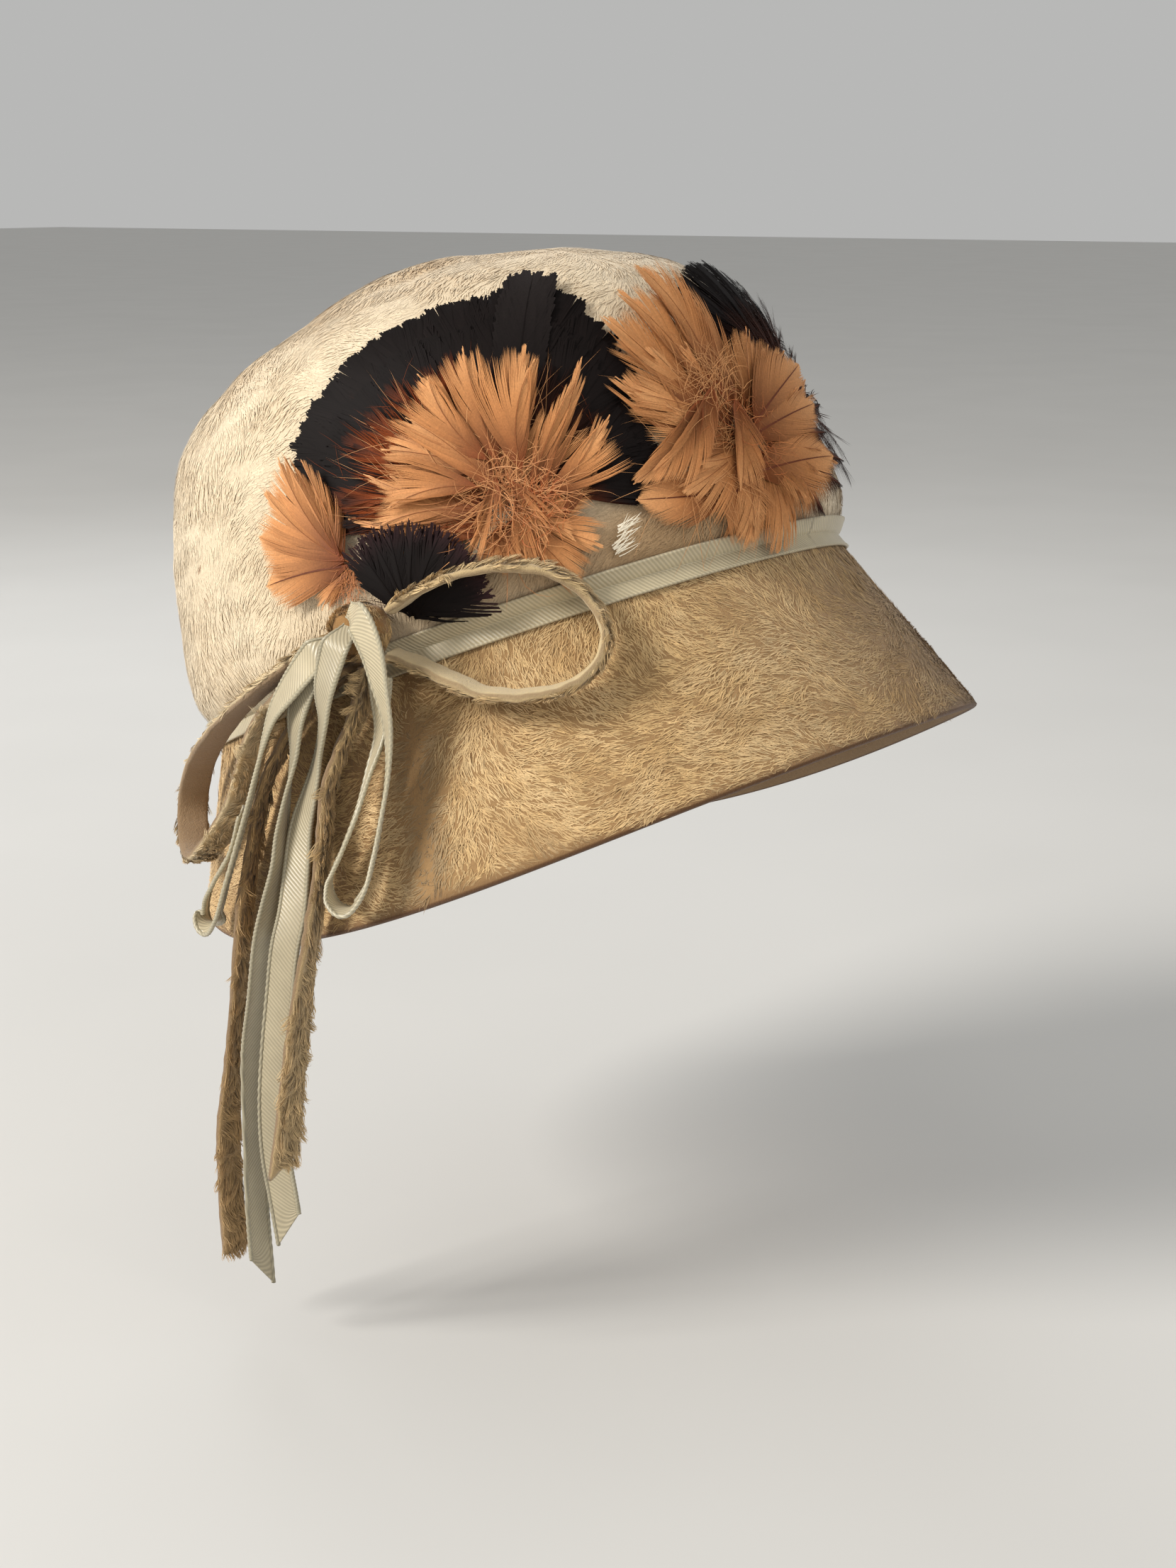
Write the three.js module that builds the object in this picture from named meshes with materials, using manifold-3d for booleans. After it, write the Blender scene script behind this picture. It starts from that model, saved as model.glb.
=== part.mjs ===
// A felt hat as it is worn: a deep crown, a turned-down brim, a satin band, a bow of felt
// strips and satin ribbon with hanging ends, and feather rosettes on the crown.
// Millimetres. +Z is up, the hat faces -Y, the bow is on the wearer's right, -X.
// The origin is the middle of the headline, the oval where crown and brim meet.
import * as THREE from 'three';
import { mergeVertices } from 'three/addons/utils/BufferGeometryUtils.js';
import Module from 'manifold-3d';

const wasm = await Module();
wasm.setup();

// How the hat sits: tipped back, and leaning a little to the wearer's left.
const tipBack = THREE.MathUtils.degToRad(22.5);
const lean = THREE.MathUtils.degToRad(2.5);

// The headline and the felt, measured outside.
const head = { length: 102, width: 85.5 };
const feltThickness = 2.5;
const seamGap = 0.3;
const sliver = 0.03;

// Half sizes of the brim's edge, and how its height below the headline changes round the hat.
const brimEdge = { front: 127, back: 119, side: 111 };
const brimDrop = { mean: -57.3, frontDip: -8.5, saddle: 9.1, third: -2.2 };

// The crown from headline to top: a height, and the size of the oval there against the headline.
const crownRows = [
  { height: 0.15, scale: 1.0 },
  { height: 4, scale: 1.03 },
  { height: 12, scale: 1.055 },
  { height: 24, scale: 1.05 },
  { height: 40, scale: 1.022 },
  { height: 55, scale: 0.99 },
  { height: 68, scale: 0.955 },
  { height: 80, scale: 0.893 },
  { height: 90, scale: 0.795 },
  { height: 99, scale: 0.645 },
  { height: 107, scale: 0.445 },
  { height: 112.5, scale: 0.27 },
  { height: 115.5, scale: 0.12 },
  { height: 116.5, scale: 0 },
];
const crownTurns = 40;
const crownLevels = 12;
const topHub = 6;
const brimTurns = 48;
const brimLevels = 3;

// The satin band round the headline and the satin ribbon of the bow.
const band = { width: 9.6, thickness: 0.8, lift: 0.7 };
const ribbon = { width: 9.5, thickness: 0.8 };
const feltStrip = { width: 9, thickness: 2.5 };
const stripSteps = 3;

// The wrap that holds the bow: middle and half sizes.
const knot = { out: 95.5, back: -12, up: 19, halfOut: 6, radius: 8 };

// Feathers.
const vane = { thickness: 0.8, steps: 4 };

const colours = {
  crown: 0xe2cda0,
  brim: 0xc9a870,
  satin: 0xd8cfb4,
  feltStrip: 0xb9986a,
  dark: 0x24161a,
  tan: 0xc98a55,
};

// A closed grid: rows of points, each row a loop, the first and last row capped to a point.
function closeGrid(rows, joinEnds) {
  const count = rows[0].length;
  const positions = rows.flat().flatMap((point) => [point.x, point.y, point.z]);
  const index = [];
  const lastRow = joinEnds ? rows.length : rows.length - 1;
  for (let row = 0; row < lastRow; row++) {
    const next = (row + 1) % rows.length;
    for (let column = 0; column < count; column++) {
      const beside = (column + 1) % count;
      const corners = [row * count + column, row * count + beside, next * count + beside, next * count + column];
      index.push(corners[0], corners[1], corners[2], corners[0], corners[2], corners[3]);
    }
  }
  if (!joinEnds) {
    for (let column = 1; column < count - 1; column++) {
      const first = (rows.length - 1) * count;
      index.push(0, column + 1, column);
      index.push(first, first + column, first + column + 1);
    }
  }
  const geometry = new THREE.BufferGeometry();
  geometry.setAttribute('position', new THREE.Float32BufferAttribute(positions, 3));
  geometry.setIndex(index);
  return outward(mergeVertices(geometry, 1e-4));
}

// Drops triangles with two equal corners and turns the faces out if the volume is negative.
function outward(geometry) {
  const position = geometry.getAttribute('position');
  const corner = [new THREE.Vector3(), new THREE.Vector3(), new THREE.Vector3()];
  const kept = [];
  let volume = 0;
  for (let i = 0; i < geometry.index.count; i += 3) {
    const ids = [0, 1, 2].map((k) => geometry.index.getX(i + k));
    if (ids[0] === ids[1] || ids[1] === ids[2] || ids[0] === ids[2]) {
      continue;
    }
    ids.forEach((id, k) => corner[k].fromBufferAttribute(position, id));
    volume += corner[0].dot(corner[1].clone().cross(corner[2]));
    kept.push(ids);
  }
  const ordered = volume < 0 ? kept.map((ids) => [ids[0], ids[2], ids[1]]) : kept;
  geometry.setIndex(ordered.flat());
  return geometry;
}

function toSolid(geometry) {
  const vertProperties = Float32Array.from(geometry.getAttribute('position').array);
  const triVerts = Uint32Array.from(geometry.index.array);
  return new wasm.Manifold(new wasm.Mesh({ numProp: 3, vertProperties, triVerts }));
}

function toGeometry(solid) {
  const mesh = solid.getMesh();
  const geometry = new THREE.BufferGeometry();
  geometry.setAttribute('position', new THREE.Float32BufferAttribute(mesh.vertProperties, 3));
  geometry.setIndex(Array.from(mesh.triVerts));
  return geometry;
}

// Joins closed pieces into one body, fills any hollow sealed between them and drops slivers.
function fuse(geometries) {
  const joined = geometries.map(toSolid).reduce((whole, piece) => whole.add(piece));
  const shells = joined.decompose().filter((shell) => shell.volume() > 0);
  return toGeometry(shells.reduce((whole, shell) => whole.add(shell)).asOriginal().simplify(sliver));
}

// The crown's profile as one smooth curve: x is the oval's mean radius, y the height.
const meanRadius = (head.length + head.width) / 2;
const crownCurve = new THREE.SplineCurve(
  crownRows.map((row) => new THREE.Vector2(row.scale * meanRadius, row.height)),
);
const crownLength = crownCurve.getLength();

// Turns run from the hat's front over the wearer's right side to the back, in radians.
function ovalPoint(turn, scale, height) {
  return new THREE.Vector3(
    -head.width * scale * Math.sin(turn),
    -head.length * scale * Math.cos(turn),
    height,
  );
}

function crownSkin(turn, level) {
  const along = THREE.MathUtils.clamp(level / crownLength, 0, 1);
  const spot = crownCurve.getPointAt(along);
  return ovalPoint(turn, spot.x / meanRadius, spot.y);
}

function brimSkin(turn, fall) {
  const start = ovalPoint(turn, 1, 0);
  const reach = Math.cos(turn) > 0 ? brimEdge.front : brimEdge.back;
  const drop = brimDrop.mean
    + brimDrop.frontDip * Math.cos(turn)
    + brimDrop.saddle * Math.cos(2 * turn)
    + brimDrop.third * Math.cos(3 * turn);
  const edge = new THREE.Vector3(-brimEdge.side * Math.sin(turn), -reach * Math.cos(turn), drop);
  return start.lerp(edge, fall);
}

// A skin's outward normal, from small steps round and up it.
function skinNormal(skin, turn, level, step) {
  const nudge = 0.01;
  const sideways = skin(turn + nudge, level).sub(skin(turn - nudge, level));
  const upward = skin(turn, level + step).sub(skin(turn, level - step));
  return upward.cross(sideways).normalize();
}

// Points lifted off the felt.
function onCrown(turn, level, lift) {
  const inside = THREE.MathUtils.clamp(level, 0.6, crownLength - 0.6);
  return crownSkin(turn, level).addScaledVector(skinNormal(crownSkin, turn, inside, 0.5), lift);
}

function onBrim(turn, fall, lift) {
  return brimSkin(turn, fall).addScaledVector(skinNormal(brimSkin, turn, fall, -0.02), lift);
}

// The crown: outer skin down to the headline, and the same skin one felt thickness inside.
function makeCrown() {
  const rows = [];
  const side = (lift, from, to) => {
    for (let i = 0; i <= crownLevels; i++) {
      const level = THREE.MathUtils.lerp(from, to, i / crownLevels);
      const loop = [];
      for (let k = 0; k < crownTurns; k++) {
        const turn = (2 * Math.PI * k) / crownTurns;
        loop.push(onCrown(turn, level, lift));
      }
      rows.push(loop);
    }
  };
  const apexOut = ovalPoint(0, 0, crownRows.at(-1).height);
  const apexIn = ovalPoint(0, 0, crownRows.at(-1).height - feltThickness);
  rows.push(Array(crownTurns).fill(apexOut));
  side(0, crownLength - topHub, 0);
  side(-feltThickness, 0, crownLength - topHub);
  rows.push(Array(crownTurns).fill(apexIn));
  return closeGrid(rows, false);
}

// The brim: a flared skirt from just under the headline to its edge.
function makeBrim() {
  const rows = [];
  const top = seamGap / -brimDrop.mean;
  for (const lift of [0, -feltThickness]) {
    for (let i = 0; i <= brimLevels; i++) {
      const step = i / brimLevels;
      const fall = THREE.MathUtils.lerp(top, 1, lift === 0 ? step : 1 - step);
      const loop = [];
      for (let k = 0; k < brimTurns; k++) {
        loop.push(onBrim((2 * Math.PI * k) / brimTurns, fall, lift));
      }
      rows.push(loop);
    }
  }
  return closeGrid(rows, true);
}

// The band: it covers the seam, half on the crown and half on the brim.
function makeBand() {
  const rows = [];
  const half = band.width / 2;
  const brimSlant = brimSkin(0, 1).distanceTo(brimSkin(0, 0));
  const place = (height, turn, lift) => {
    if (height >= 0) {
      return onCrown(turn, height + 0.6, lift);
    }
    return onBrim(turn, -height / brimSlant, lift);
  };
  for (const lift of [band.lift - band.thickness / 2, band.lift + band.thickness / 2]) {
    const heights = [-half, 0, half];
    if (lift > band.lift) {
      heights.reverse();
    }
    for (const height of heights) {
      const loop = [];
      for (let k = 0; k < brimTurns; k++) {
        loop.push(place(height, (2 * Math.PI * k) / brimTurns, lift));
      }
      rows.push(loop);
    }
  }
  return closeGrid(rows, true);
}

// A rosette's own map of the crown: forward is towards the hat's front, upward towards its top.
function rosetteMap(middle) {
  const turn = THREE.MathUtils.degToRad(middle.turn);
  return (forward, upward, lift) => {
    const level = Math.max(middle.level + upward, 0.8);
    const across = Math.hypot(head.width * Math.cos(turn), head.length * Math.sin(turn));
    const spot = crownCurve.getPointAt(THREE.MathUtils.clamp(level / crownLength, 0, 0.98));
    const radius = (across * spot.x) / meanRadius;
    return onCrown(turn - forward / radius, level, lift);
  };
}

// One feather's blade: a flat diamond section that narrows at both ends and rises to its tip.
function blade(map, heading, feather) {
  const widths = [0.4, 0.85, 1, 0.8, 0.3];
  const sin = Math.sin(heading);
  const cos = Math.cos(heading);
  const rows = [];
  for (let i = 0; i <= vane.steps; i++) {
    const part = i / vane.steps;
    const reach = THREE.MathUtils.lerp(feather.start, feather.end, part);
    const half = (feather.width * widths[i]) / 2;
    const lift = feather.lift + feather.rise * Math.sqrt(part);
    const at = (side, above) => map(reach * sin + side * cos, reach * cos - side * sin, lift + above);
    rows.push([at(-half, 0), at(0, vane.thickness / 2), at(half, 0), at(0, -vane.thickness / 2)]);
  }
  return closeGrid(rows, false);
}

// A backing pad: a strip bent round the rosette's middle, or a short one across it.
function pad(map, radius, from, to, width, lift) {
  const count = Math.max(2, Math.round((to - from) / 0.35));
  const rows = [];
  for (let i = 0; i <= count; i++) {
    const heading = THREE.MathUtils.lerp(from, to, i / count);
    const at = (reach, height) => map(reach * Math.sin(heading), reach * Math.cos(heading), height);
    const near = radius - width / 2;
    const far = radius + width / 2;
    const top = lift + vane.thickness / 2;
    const under = lift - vane.thickness / 2;
    rows.push([at(near, under), at(near, top), at(far, top), at(far, under)]);
  }
  return closeGrid(rows, false);
}

function roundPad(map, radius, lift) {
  const rows = [];
  for (let i = 0; i <= 4; i++) {
    const forward = radius * (i / 2 - 1);
    const half = radius * [0.45, 0.85, 1, 0.85, 0.45][i];
    const top = lift + vane.thickness / 2;
    const under = lift - vane.thickness / 2;
    rows.push([
      map(forward, -half, under),
      map(forward, -half, top),
      map(forward, half, top),
      map(forward, half, under),
    ]);
  }
  return closeGrid(rows, false);
}

// Fans of feathers round a middle. Headings are degrees from straight up, positive forward;
// start and end are distances from the middle, and lift and rise are heights off the felt.
function makeRosette(rosette) {
  const map = rosetteMap(rosette.middle);
  const rad = THREE.MathUtils.degToRad;
  const pieces = [];
  if (rosette.ring) {
    const { radius, from, to, width, lift } = rosette.ring;
    pieces.push(pad(map, radius, rad(from), rad(to), width, lift));
  } else {
    pieces.push(roundPad(map, rosette.padRadius, rosette.padLift));
  }
  for (const fan of rosette.fans) {
    for (let i = 0; i < fan.count; i++) {
      const heading = fan.count === 1 ? fan.from : THREE.MathUtils.lerp(fan.from, fan.to, i / (fan.count - 1));
      pieces.push(blade(map, rad(heading), fan));
    }
  }
  return fuse(pieces);
}

const rosettes = {
  feathers_side_dark: {
    colour: colours.dark,
    middle: { turn: 57, level: 27 },
    ring: { radius: 16, from: -66, to: 90, width: 6, lift: 0.75 },
    fans: [
      { from: -62, to: 4, count: 6, start: 13, end: 62, width: 15, lift: 0.75, rise: 1.4 },
      { from: 14, to: 34, count: 3, start: 13, end: 67, width: 15, lift: 0.75, rise: 1.4 },
      { from: 48, to: 86, count: 4, start: 13, end: 50, width: 12, lift: 0.75, rise: 1.4 },
    ],
  },
  feathers_side_tan: {
    colour: colours.tan,
    middle: { turn: 57, level: 27 },
    padRadius: 8,
    padLift: 0.75,
    fans: [
      { from: -72, to: -28, count: 3, start: 4, end: 36, width: 10, lift: 0.8, rise: 6 },
      { from: -8, to: 62, count: 5, start: 4, end: 41, width: 11, lift: 0.85, rise: 6 },
      { from: 85, to: 118, count: 2, start: 3, end: 19, width: 8, lift: 0.75, rise: 5 },
      { from: 140, to: 215, count: 3, start: 2, end: 11, width: 7, lift: 0.75, rise: 3 },
    ],
  },
  feathers_curled_tan: {
    colour: colours.tan,
    middle: { turn: 82, level: 28 },
    padRadius: 4,
    padLift: 0.75,
    fans: [
      { from: -82, to: -36, count: 2, start: 0, end: 33, width: 17, lift: 0.8, rise: 5 },
      { from: 2, to: 2, count: 1, start: 0, end: 31, width: 9, lift: 0.85, rise: 6.5 },
    ],
  },
  feathers_low_dark: {
    colour: colours.dark,
    middle: { turn: 73.5, level: 9.5 },
    padRadius: 4,
    padLift: 0.72,
    fans: [
      { from: -10, to: 78, count: 5, start: 1, end: 23, width: 9, lift: 0.72, rise: 0.8 },
    ],
  },
  feathers_front_tan: {
    colour: colours.tan,
    middle: { turn: 12, level: 30 },
    padRadius: 9,
    padLift: 0.75,
    fans: [
      { from: -49, to: -13, count: 3, start: 5, end: 47, width: 12, lift: 0.9, rise: 7 },
      { from: 7, to: 59, count: 4, start: 5, end: 31, width: 11, lift: 0.8, rise: 9 },
      { from: 79, to: 163, count: 5, start: 5, end: 24, width: 11, lift: 0.85, rise: 8 },
      { from: -171, to: -97, count: 4, start: 5, end: 25, width: 11, lift: 0.95, rise: 5 },
    ],
  },
  feathers_front_dark: {
    colour: colours.dark,
    middle: { turn: -8, level: 40 },
    padRadius: 7,
    padLift: 0.75,
    fans: [
      { from: -34, to: 40, count: 5, start: 3, end: 45, width: 13, lift: 0.75, rise: 4 },
      { from: 75, to: 150, count: 3, start: 3, end: 30, width: 12, lift: 0.75, rise: 4 },
    ],
  },
};

// A flat strip along a route. out, back and up are the middle's place as the hat is worn; edge is
// the compass direction in degrees that the strip's width points to, 0 front and 90 outward.
function makeStrip(section, rows, cutSlant) {
  const route = new THREE.CatmullRomCurve3(rows.map((row) => new THREE.Vector3(-row[0], row[1], row[2])));
  const edges = rows.map((row) => THREE.MathUtils.degToRad(row[3]));
  const count = (rows.length - 1) * stripSteps;
  const loops = [];
  for (let i = 0; i <= count; i++) {
    const along = i / count;
    const middle = route.getPoint(along);
    const tangent = route.getTangent(along);
    const place = along * (rows.length - 1);
    const before = Math.min(Math.floor(place), rows.length - 2);
    const edge = THREE.MathUtils.lerp(edges[before], edges[before + 1], place - before);
    const across = new THREE.Vector3(-Math.sin(edge), -Math.cos(edge), 0);
    across.addScaledVector(tangent, -across.dot(tangent)).normalize();
    const face = tangent.clone().cross(across).multiplyScalar(section.thickness / 2);
    const half = across.multiplyScalar(section.width / 2);
    const slant = i === count ? cutSlant : 0;
    const corner = (side, above) => middle.clone()
      .addScaledVector(half, side)
      .addScaledVector(face, above)
      .addScaledVector(tangent, side * slant);
    loops.push([corner(-1, -1), corner(1, -1), corner(1, 1), corner(-1, 1)]);
  }
  return closeGrid(loops, false);
}

// Columns: out, back, up, edge.
const strips = {
  felt_loop_front: {
    section: feltStrip,
    colour: colours.feltStrip,
    rows: [
      [95, -21.5, 25.5, 80],
      [92, -29, 31, 75],
      [88, -38, 35.5, 70],
      [82.5, -50, 38, 64],
      [76, -61, 36, 56],
      [71.5, -69, 29, 56],
      [74, -75, 21, 58],
      [79.5, -75.5, 14, 64],
      [85, -70.5, 9, 68],
      [89.5, -61.5, 6.5, 74],
      [92, -50.5, 6, 76],
      [92.5, -39.5, 8.5, 78],
      [93, -29.5, 11.5, 80],
      [95, -21.5, 14, 82],
    ],
    cutSlant: 0,
  },
  felt_loop_back: {
    section: feltStrip,
    colour: colours.feltStrip,
    rows: [
      [94, -3, 16.5, 88],
      [95, 9, 9.5, 90],
      [94.5, 22, 0.5, 94],
      [88, 43, -14, 108],
      [80, 61, -31, 122],
      [78, 66, -44, 128],
      [86, 58.5, -53.5, 126],
      [92, 50, -53, 120],
      [92.5, 36, -36, 112],
      [92, 27, -13, 104],
      [95, 12, 1.5, 96],
      [94, -3, 11.5, 90],
    ],
    cutSlant: 0,
  },
  felt_tail_back: {
    section: feltStrip,
    colour: colours.feltStrip,
    rows: [
      [95, -8, 9, 78],
      [95, 3, 0, 75],
      [95.5, 10.5, -8, 72],
      [96, 16, -16, 70],
      [98, 20, -25, 70],
      [100, 22, -36, 70],
      [103, 23, -49, 70],
      [108, 22, -62, 70],
      [109.8, 22.5, -80, 74],
      [110, 25, -102, 82],
      [112, 27, -125, 90],
      [112, 27, -149, 96],
      [111, 27, -163, 98],
    ],
    cutSlant: 0,
  },
  felt_tail_front: {
    section: feltStrip,
    colour: colours.feltStrip,
    rows: [
      [95, -13, 9.5, 76],
      [96, -12, 3, 74],
      [98.5, -11, -4, 70],
      [102, -8.5, -13, 68],
      [105, -7, -21, 66],
      [109, -8, -32, 64],
      [113.5, -10, -43, 64],
      [118.5, -11.5, -55, 70],
      [121.5, -10, -73, 82],
      [123.8, -8.3, -92, 92],
      [125.2, -6.3, -111, 98],
      [126, -4.5, -124, 100],
    ],
    cutSlant: 4,
  },
  satin_loop_front: {
    section: ribbon,
    colour: colours.satin,
    rows: [
      [106.4, -13, 27, 0],
      [106.8, -19, 25, 2],
      [107, -23.5, 18, 8],
      [106.5, -26, 8, 25],
      [106.5, -28.5, -3, 42],
      [108, -29.5, -14, 52],
      [111, -29.5, -25, 56],
      [115, -29.5, -36, 58],
      [119, -29, -44.5, 58],
      [121, -25.5, -49.5, 58],
      [120, -20, -48.5, 58],
      [118, -17, -44, 58],
      [115, -19, -36, 58],
      [111.5, -21.5, -26, 56],
      [105.5, -21, -17, 52],
      [100, -21, -7, 40],
      [99, -20.5, 2, 20],
      [99, -20.5, 8.5, 8],
    ],
    cutSlant: 0,
  },
  satin_loop_back: {
    section: ribbon,
    colour: colours.satin,
    rows: [
      [103.9, -8, 18, 0],
      [104, -2, 12.5, 3],
      [104.5, 5, 4.5, 18],
      [104, 12, -4, 40],
      [104.5, 15.5, -13, 50],
      [106, 17, -21, 56],
      [108, 18.5, -30, 58],
      [109.5, 21.5, -41, 58],
      [111, 25, -53, 58],
      [110, 29, -62, 58],
      [107, 34.5, -67.5, 58],
      [104, 39.5, -66.5, 58],
      [104, 38.5, -61, 58],
      [106, 32.5, -53, 58],
      [107, 26, -44, 58],
      [106.5, 22.5, -33, 58],
    ],
    cutSlant: 0,
  },
  satin_tail_back: {
    section: ribbon,
    colour: colours.satin,
    rows: [
      [102.8, -8, 14, 0],
      [102.8, 0.5, 7, 2],
      [103.5, 4.5, -4, 22],
      [105, 4.5, -15, 44],
      [107, 5.5, -25, 58],
      [109, 6, -35, 72],
      [111, 5.5, -44, 82],
      [113, 7, -54, 90],
      [115, 8.5, -64, 91],
      [116, 10.5, -81, 91],
      [117, 12.5, -97, 91],
      [117, 13, -121, 91],
      [117, 13, -146, 91],
      [117, 12, -164, 91],
    ],
    cutSlant: -5,
  },
  satin_tail_front: {
    section: ribbon,
    colour: colours.satin,
    rows: [
      [105.2, -13.5, 23.5, 0],
      [106.5, -10.5, 14, 2],
      [107.3, -8, 4, 22],
      [106.2, -6.5, -5, 46],
      [104.5, -3.5, -14, 48],
      [106.5, -2, -24, 30],
      [108.5, 0, -34, 12],
      [111.5, -0.5, -45, 2],
      [114.5, -1, -56, -4],
      [117, 0, -66, -6],
      [118, 1.5, -80, -4],
      [119, 3, -96, -6],
      [119.6, 3.8, -112, -12],
      [119.5, 3.4, -126, -15],
      [118.8, 2, -138, -14],
      [118, 1, -148, -12],
    ],
    cutSlant: -5,
  },
};

// The knot: a short felt wrap, flat on its outer and inner faces and round between them.
function makeKnot() {
  const profile = [
    new THREE.Vector2(0, -knot.halfOut),
    new THREE.Vector2(knot.radius * 0.8, -knot.halfOut),
    new THREE.Vector2(knot.radius, -knot.halfOut * 0.6),
    new THREE.Vector2(knot.radius, knot.halfOut * 0.6),
    new THREE.Vector2(knot.radius * 0.8, knot.halfOut),
    new THREE.Vector2(0, knot.halfOut),
  ];
  const geometry = new THREE.LatheGeometry(profile, 16);
  geometry.deleteAttribute('normal');
  geometry.deleteAttribute('uv');
  return outward(mergeVertices(geometry, 1e-4));
}

function addMesh(parent, name, geometry, colour, roughness) {
  const material = new THREE.MeshStandardMaterial({ color: colour, roughness, metalness: 0 });
  const mesh = new THREE.Mesh(geometry, material);
  mesh.name = name;
  parent.add(mesh);
  return mesh;
}

const group = new THREE.Group();
const hat = new THREE.Group();
hat.rotation.set(-tipBack, lean, 0);
group.add(hat);

addMesh(hat, 'crown', makeCrown(), colours.crown, 0.95);
addMesh(hat, 'brim', makeBrim(), colours.brim, 0.95);
addMesh(hat, 'hat_band', makeBand(), colours.satin, 0.4);
for (const [name, rosette] of Object.entries(rosettes)) {
  addMesh(hat, name, makeRosette(rosette), rosette.colour, 0.7);
}
for (const [name, strip] of Object.entries(strips)) {
  const roughness = strip.section === ribbon ? 0.4 : 0.95;
  addMesh(group, name, makeStrip(strip.section, strip.rows, strip.cutSlant), strip.colour, roughness);
}
const knotMesh = addMesh(group, 'bow_knot', makeKnot(), colours.feltStrip, 0.95);
knotMesh.rotation.z = Math.PI / 2;
knotMesh.position.set(-knot.out, knot.back, knot.up);

export default group;
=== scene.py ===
import math

import bpy
import numpy as np
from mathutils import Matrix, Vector, kdtree


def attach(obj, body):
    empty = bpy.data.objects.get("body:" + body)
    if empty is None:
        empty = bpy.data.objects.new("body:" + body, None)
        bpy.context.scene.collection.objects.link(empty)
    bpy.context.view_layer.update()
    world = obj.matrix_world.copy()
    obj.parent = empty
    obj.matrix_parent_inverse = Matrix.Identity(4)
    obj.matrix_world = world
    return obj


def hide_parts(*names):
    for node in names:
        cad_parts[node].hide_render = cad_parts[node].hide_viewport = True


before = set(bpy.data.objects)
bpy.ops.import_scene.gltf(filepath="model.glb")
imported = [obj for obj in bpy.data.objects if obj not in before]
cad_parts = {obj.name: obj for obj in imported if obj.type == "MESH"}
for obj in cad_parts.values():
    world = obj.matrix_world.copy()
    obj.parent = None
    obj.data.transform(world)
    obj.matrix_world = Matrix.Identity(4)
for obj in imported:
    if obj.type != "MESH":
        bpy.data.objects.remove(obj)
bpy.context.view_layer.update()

MM = 0.001

# How the hat sits, and the sizes that the part's source has too, in millimetres.
TIP_BACK = math.radians(22.5)
LEAN = math.radians(2.5)
HEAD_LENGTH = 102.0
HEAD_WIDTH = 85.5
MEAN_RADIUS = (HEAD_LENGTH + HEAD_WIDTH) / 2
FELT = 2.5
SEAM_GAP = 0.3
BRIM_EDGE = {"front": 127.0, "back": 119.0, "side": 111.0}
BRIM_DROP = {"mean": -57.3, "front_dip": -8.5, "saddle": 9.1, "third": -2.2}
CROWN_ROWS = [
    (0.15, 1.0),
    (4, 1.03),
    (12, 1.055),
    (24, 1.05),
    (40, 1.022),
    (55, 0.99),
    (68, 0.955),
    (80, 0.893),
    (90, 0.795),
    (99, 0.645),
    (107, 0.445),
    (112.5, 0.27),
    (115.5, 0.12),
    (116.5, 0),
]
BAND_WIDTH = 9.6
BAND_LIFT = 0.7

# Width and thickness of the satin ribbon and of the felt strips; then the wrap that holds them.
RIBBON = (9.5, 0.8)
FELT_STRIP = (9.0, 2.5)
KNOT = {"out": 95.5, "back": -12.0, "up": 19.0, "half_out": 6.0, "radius": 8.0}


# Colours as a screen shows them, turned into the values that light adds up in.
def light(red, green, blue):
    shown = np.array([red, green, blue]) / 255.0
    return np.where(shown <= 0.04045, shown / 12.92, ((shown + 0.055) / 1.055) ** 2.4)


def mix(a, b, part):
    part = np.asarray(part)[..., None]
    return a * (1 - part) + b * part


def smooth(low, high, value):
    part = np.clip((value - low) / (high - low), 0, 1)
    return part * part * (3 - 2 * part)


def unit(vectors):
    return vectors / np.maximum(np.linalg.norm(vectors, axis=-1, keepdims=True), 1e-12)


# A smooth uneven value at each point, about -1 to 1: a few waves in mixed directions.
def ripple(points, size, seed, waves=14):
    chance = np.random.default_rng(seed)
    heading = unit(chance.normal(size=(waves, points.shape[-1])))
    stretch = chance.uniform(0.6, 1.8, waves)
    phase = chance.uniform(0, 2 * math.pi, waves)
    angle = points @ (heading * stretch[:, None] * 2 * math.pi / size).T + phase
    return np.sin(angle).sum(-1) / math.sqrt(waves / 2) / 1.6


# The crown's profile: one smooth curve through the rows, measured along its length.
def crown_profile():
    rows = np.array([(scale * MEAN_RADIUS, height) for height, scale in CROWN_ROWS], float)
    padded = np.vstack([rows[:1], rows, rows[-1:]])
    spots = []
    part = np.linspace(0, 1, 60, endpoint=False)[:, None]
    for i in range(len(rows) - 1):
        before, here, there, after = padded[i:i + 4]
        leave = (there - before) / 2
        arrive = (after - here) / 2
        cubic = (2 * here - 2 * there + leave + arrive) * part ** 3
        square = (-3 * here + 3 * there - 2 * leave - arrive) * part ** 2
        spots.append(cubic + square + leave * part + here)
    spots.append(rows[-1:])
    spots = np.vstack(spots)
    steps = np.linalg.norm(np.diff(spots, axis=0), axis=1)
    return np.concatenate([[0], np.cumsum(steps)]), spots[:, 0], spots[:, 1]


PROFILE_LEVEL, PROFILE_RADIUS, PROFILE_HEIGHT = crown_profile()
CROWN_LENGTH = PROFILE_LEVEL[-1]


# From the hat's own frame, in millimetres, to the world, in metres; and a direction alone.
def to_world(points):
    x, y, z = points[..., 0], points[..., 1], points[..., 2]
    x2 = x * math.cos(LEAN) + z * math.sin(LEAN)
    z1 = -x * math.sin(LEAN) + z * math.cos(LEAN)
    y2 = y * math.cos(TIP_BACK) + z1 * math.sin(TIP_BACK)
    z2 = -y * math.sin(TIP_BACK) + z1 * math.cos(TIP_BACK)
    return np.stack([x2, y2, z2], -1) * MM


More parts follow.
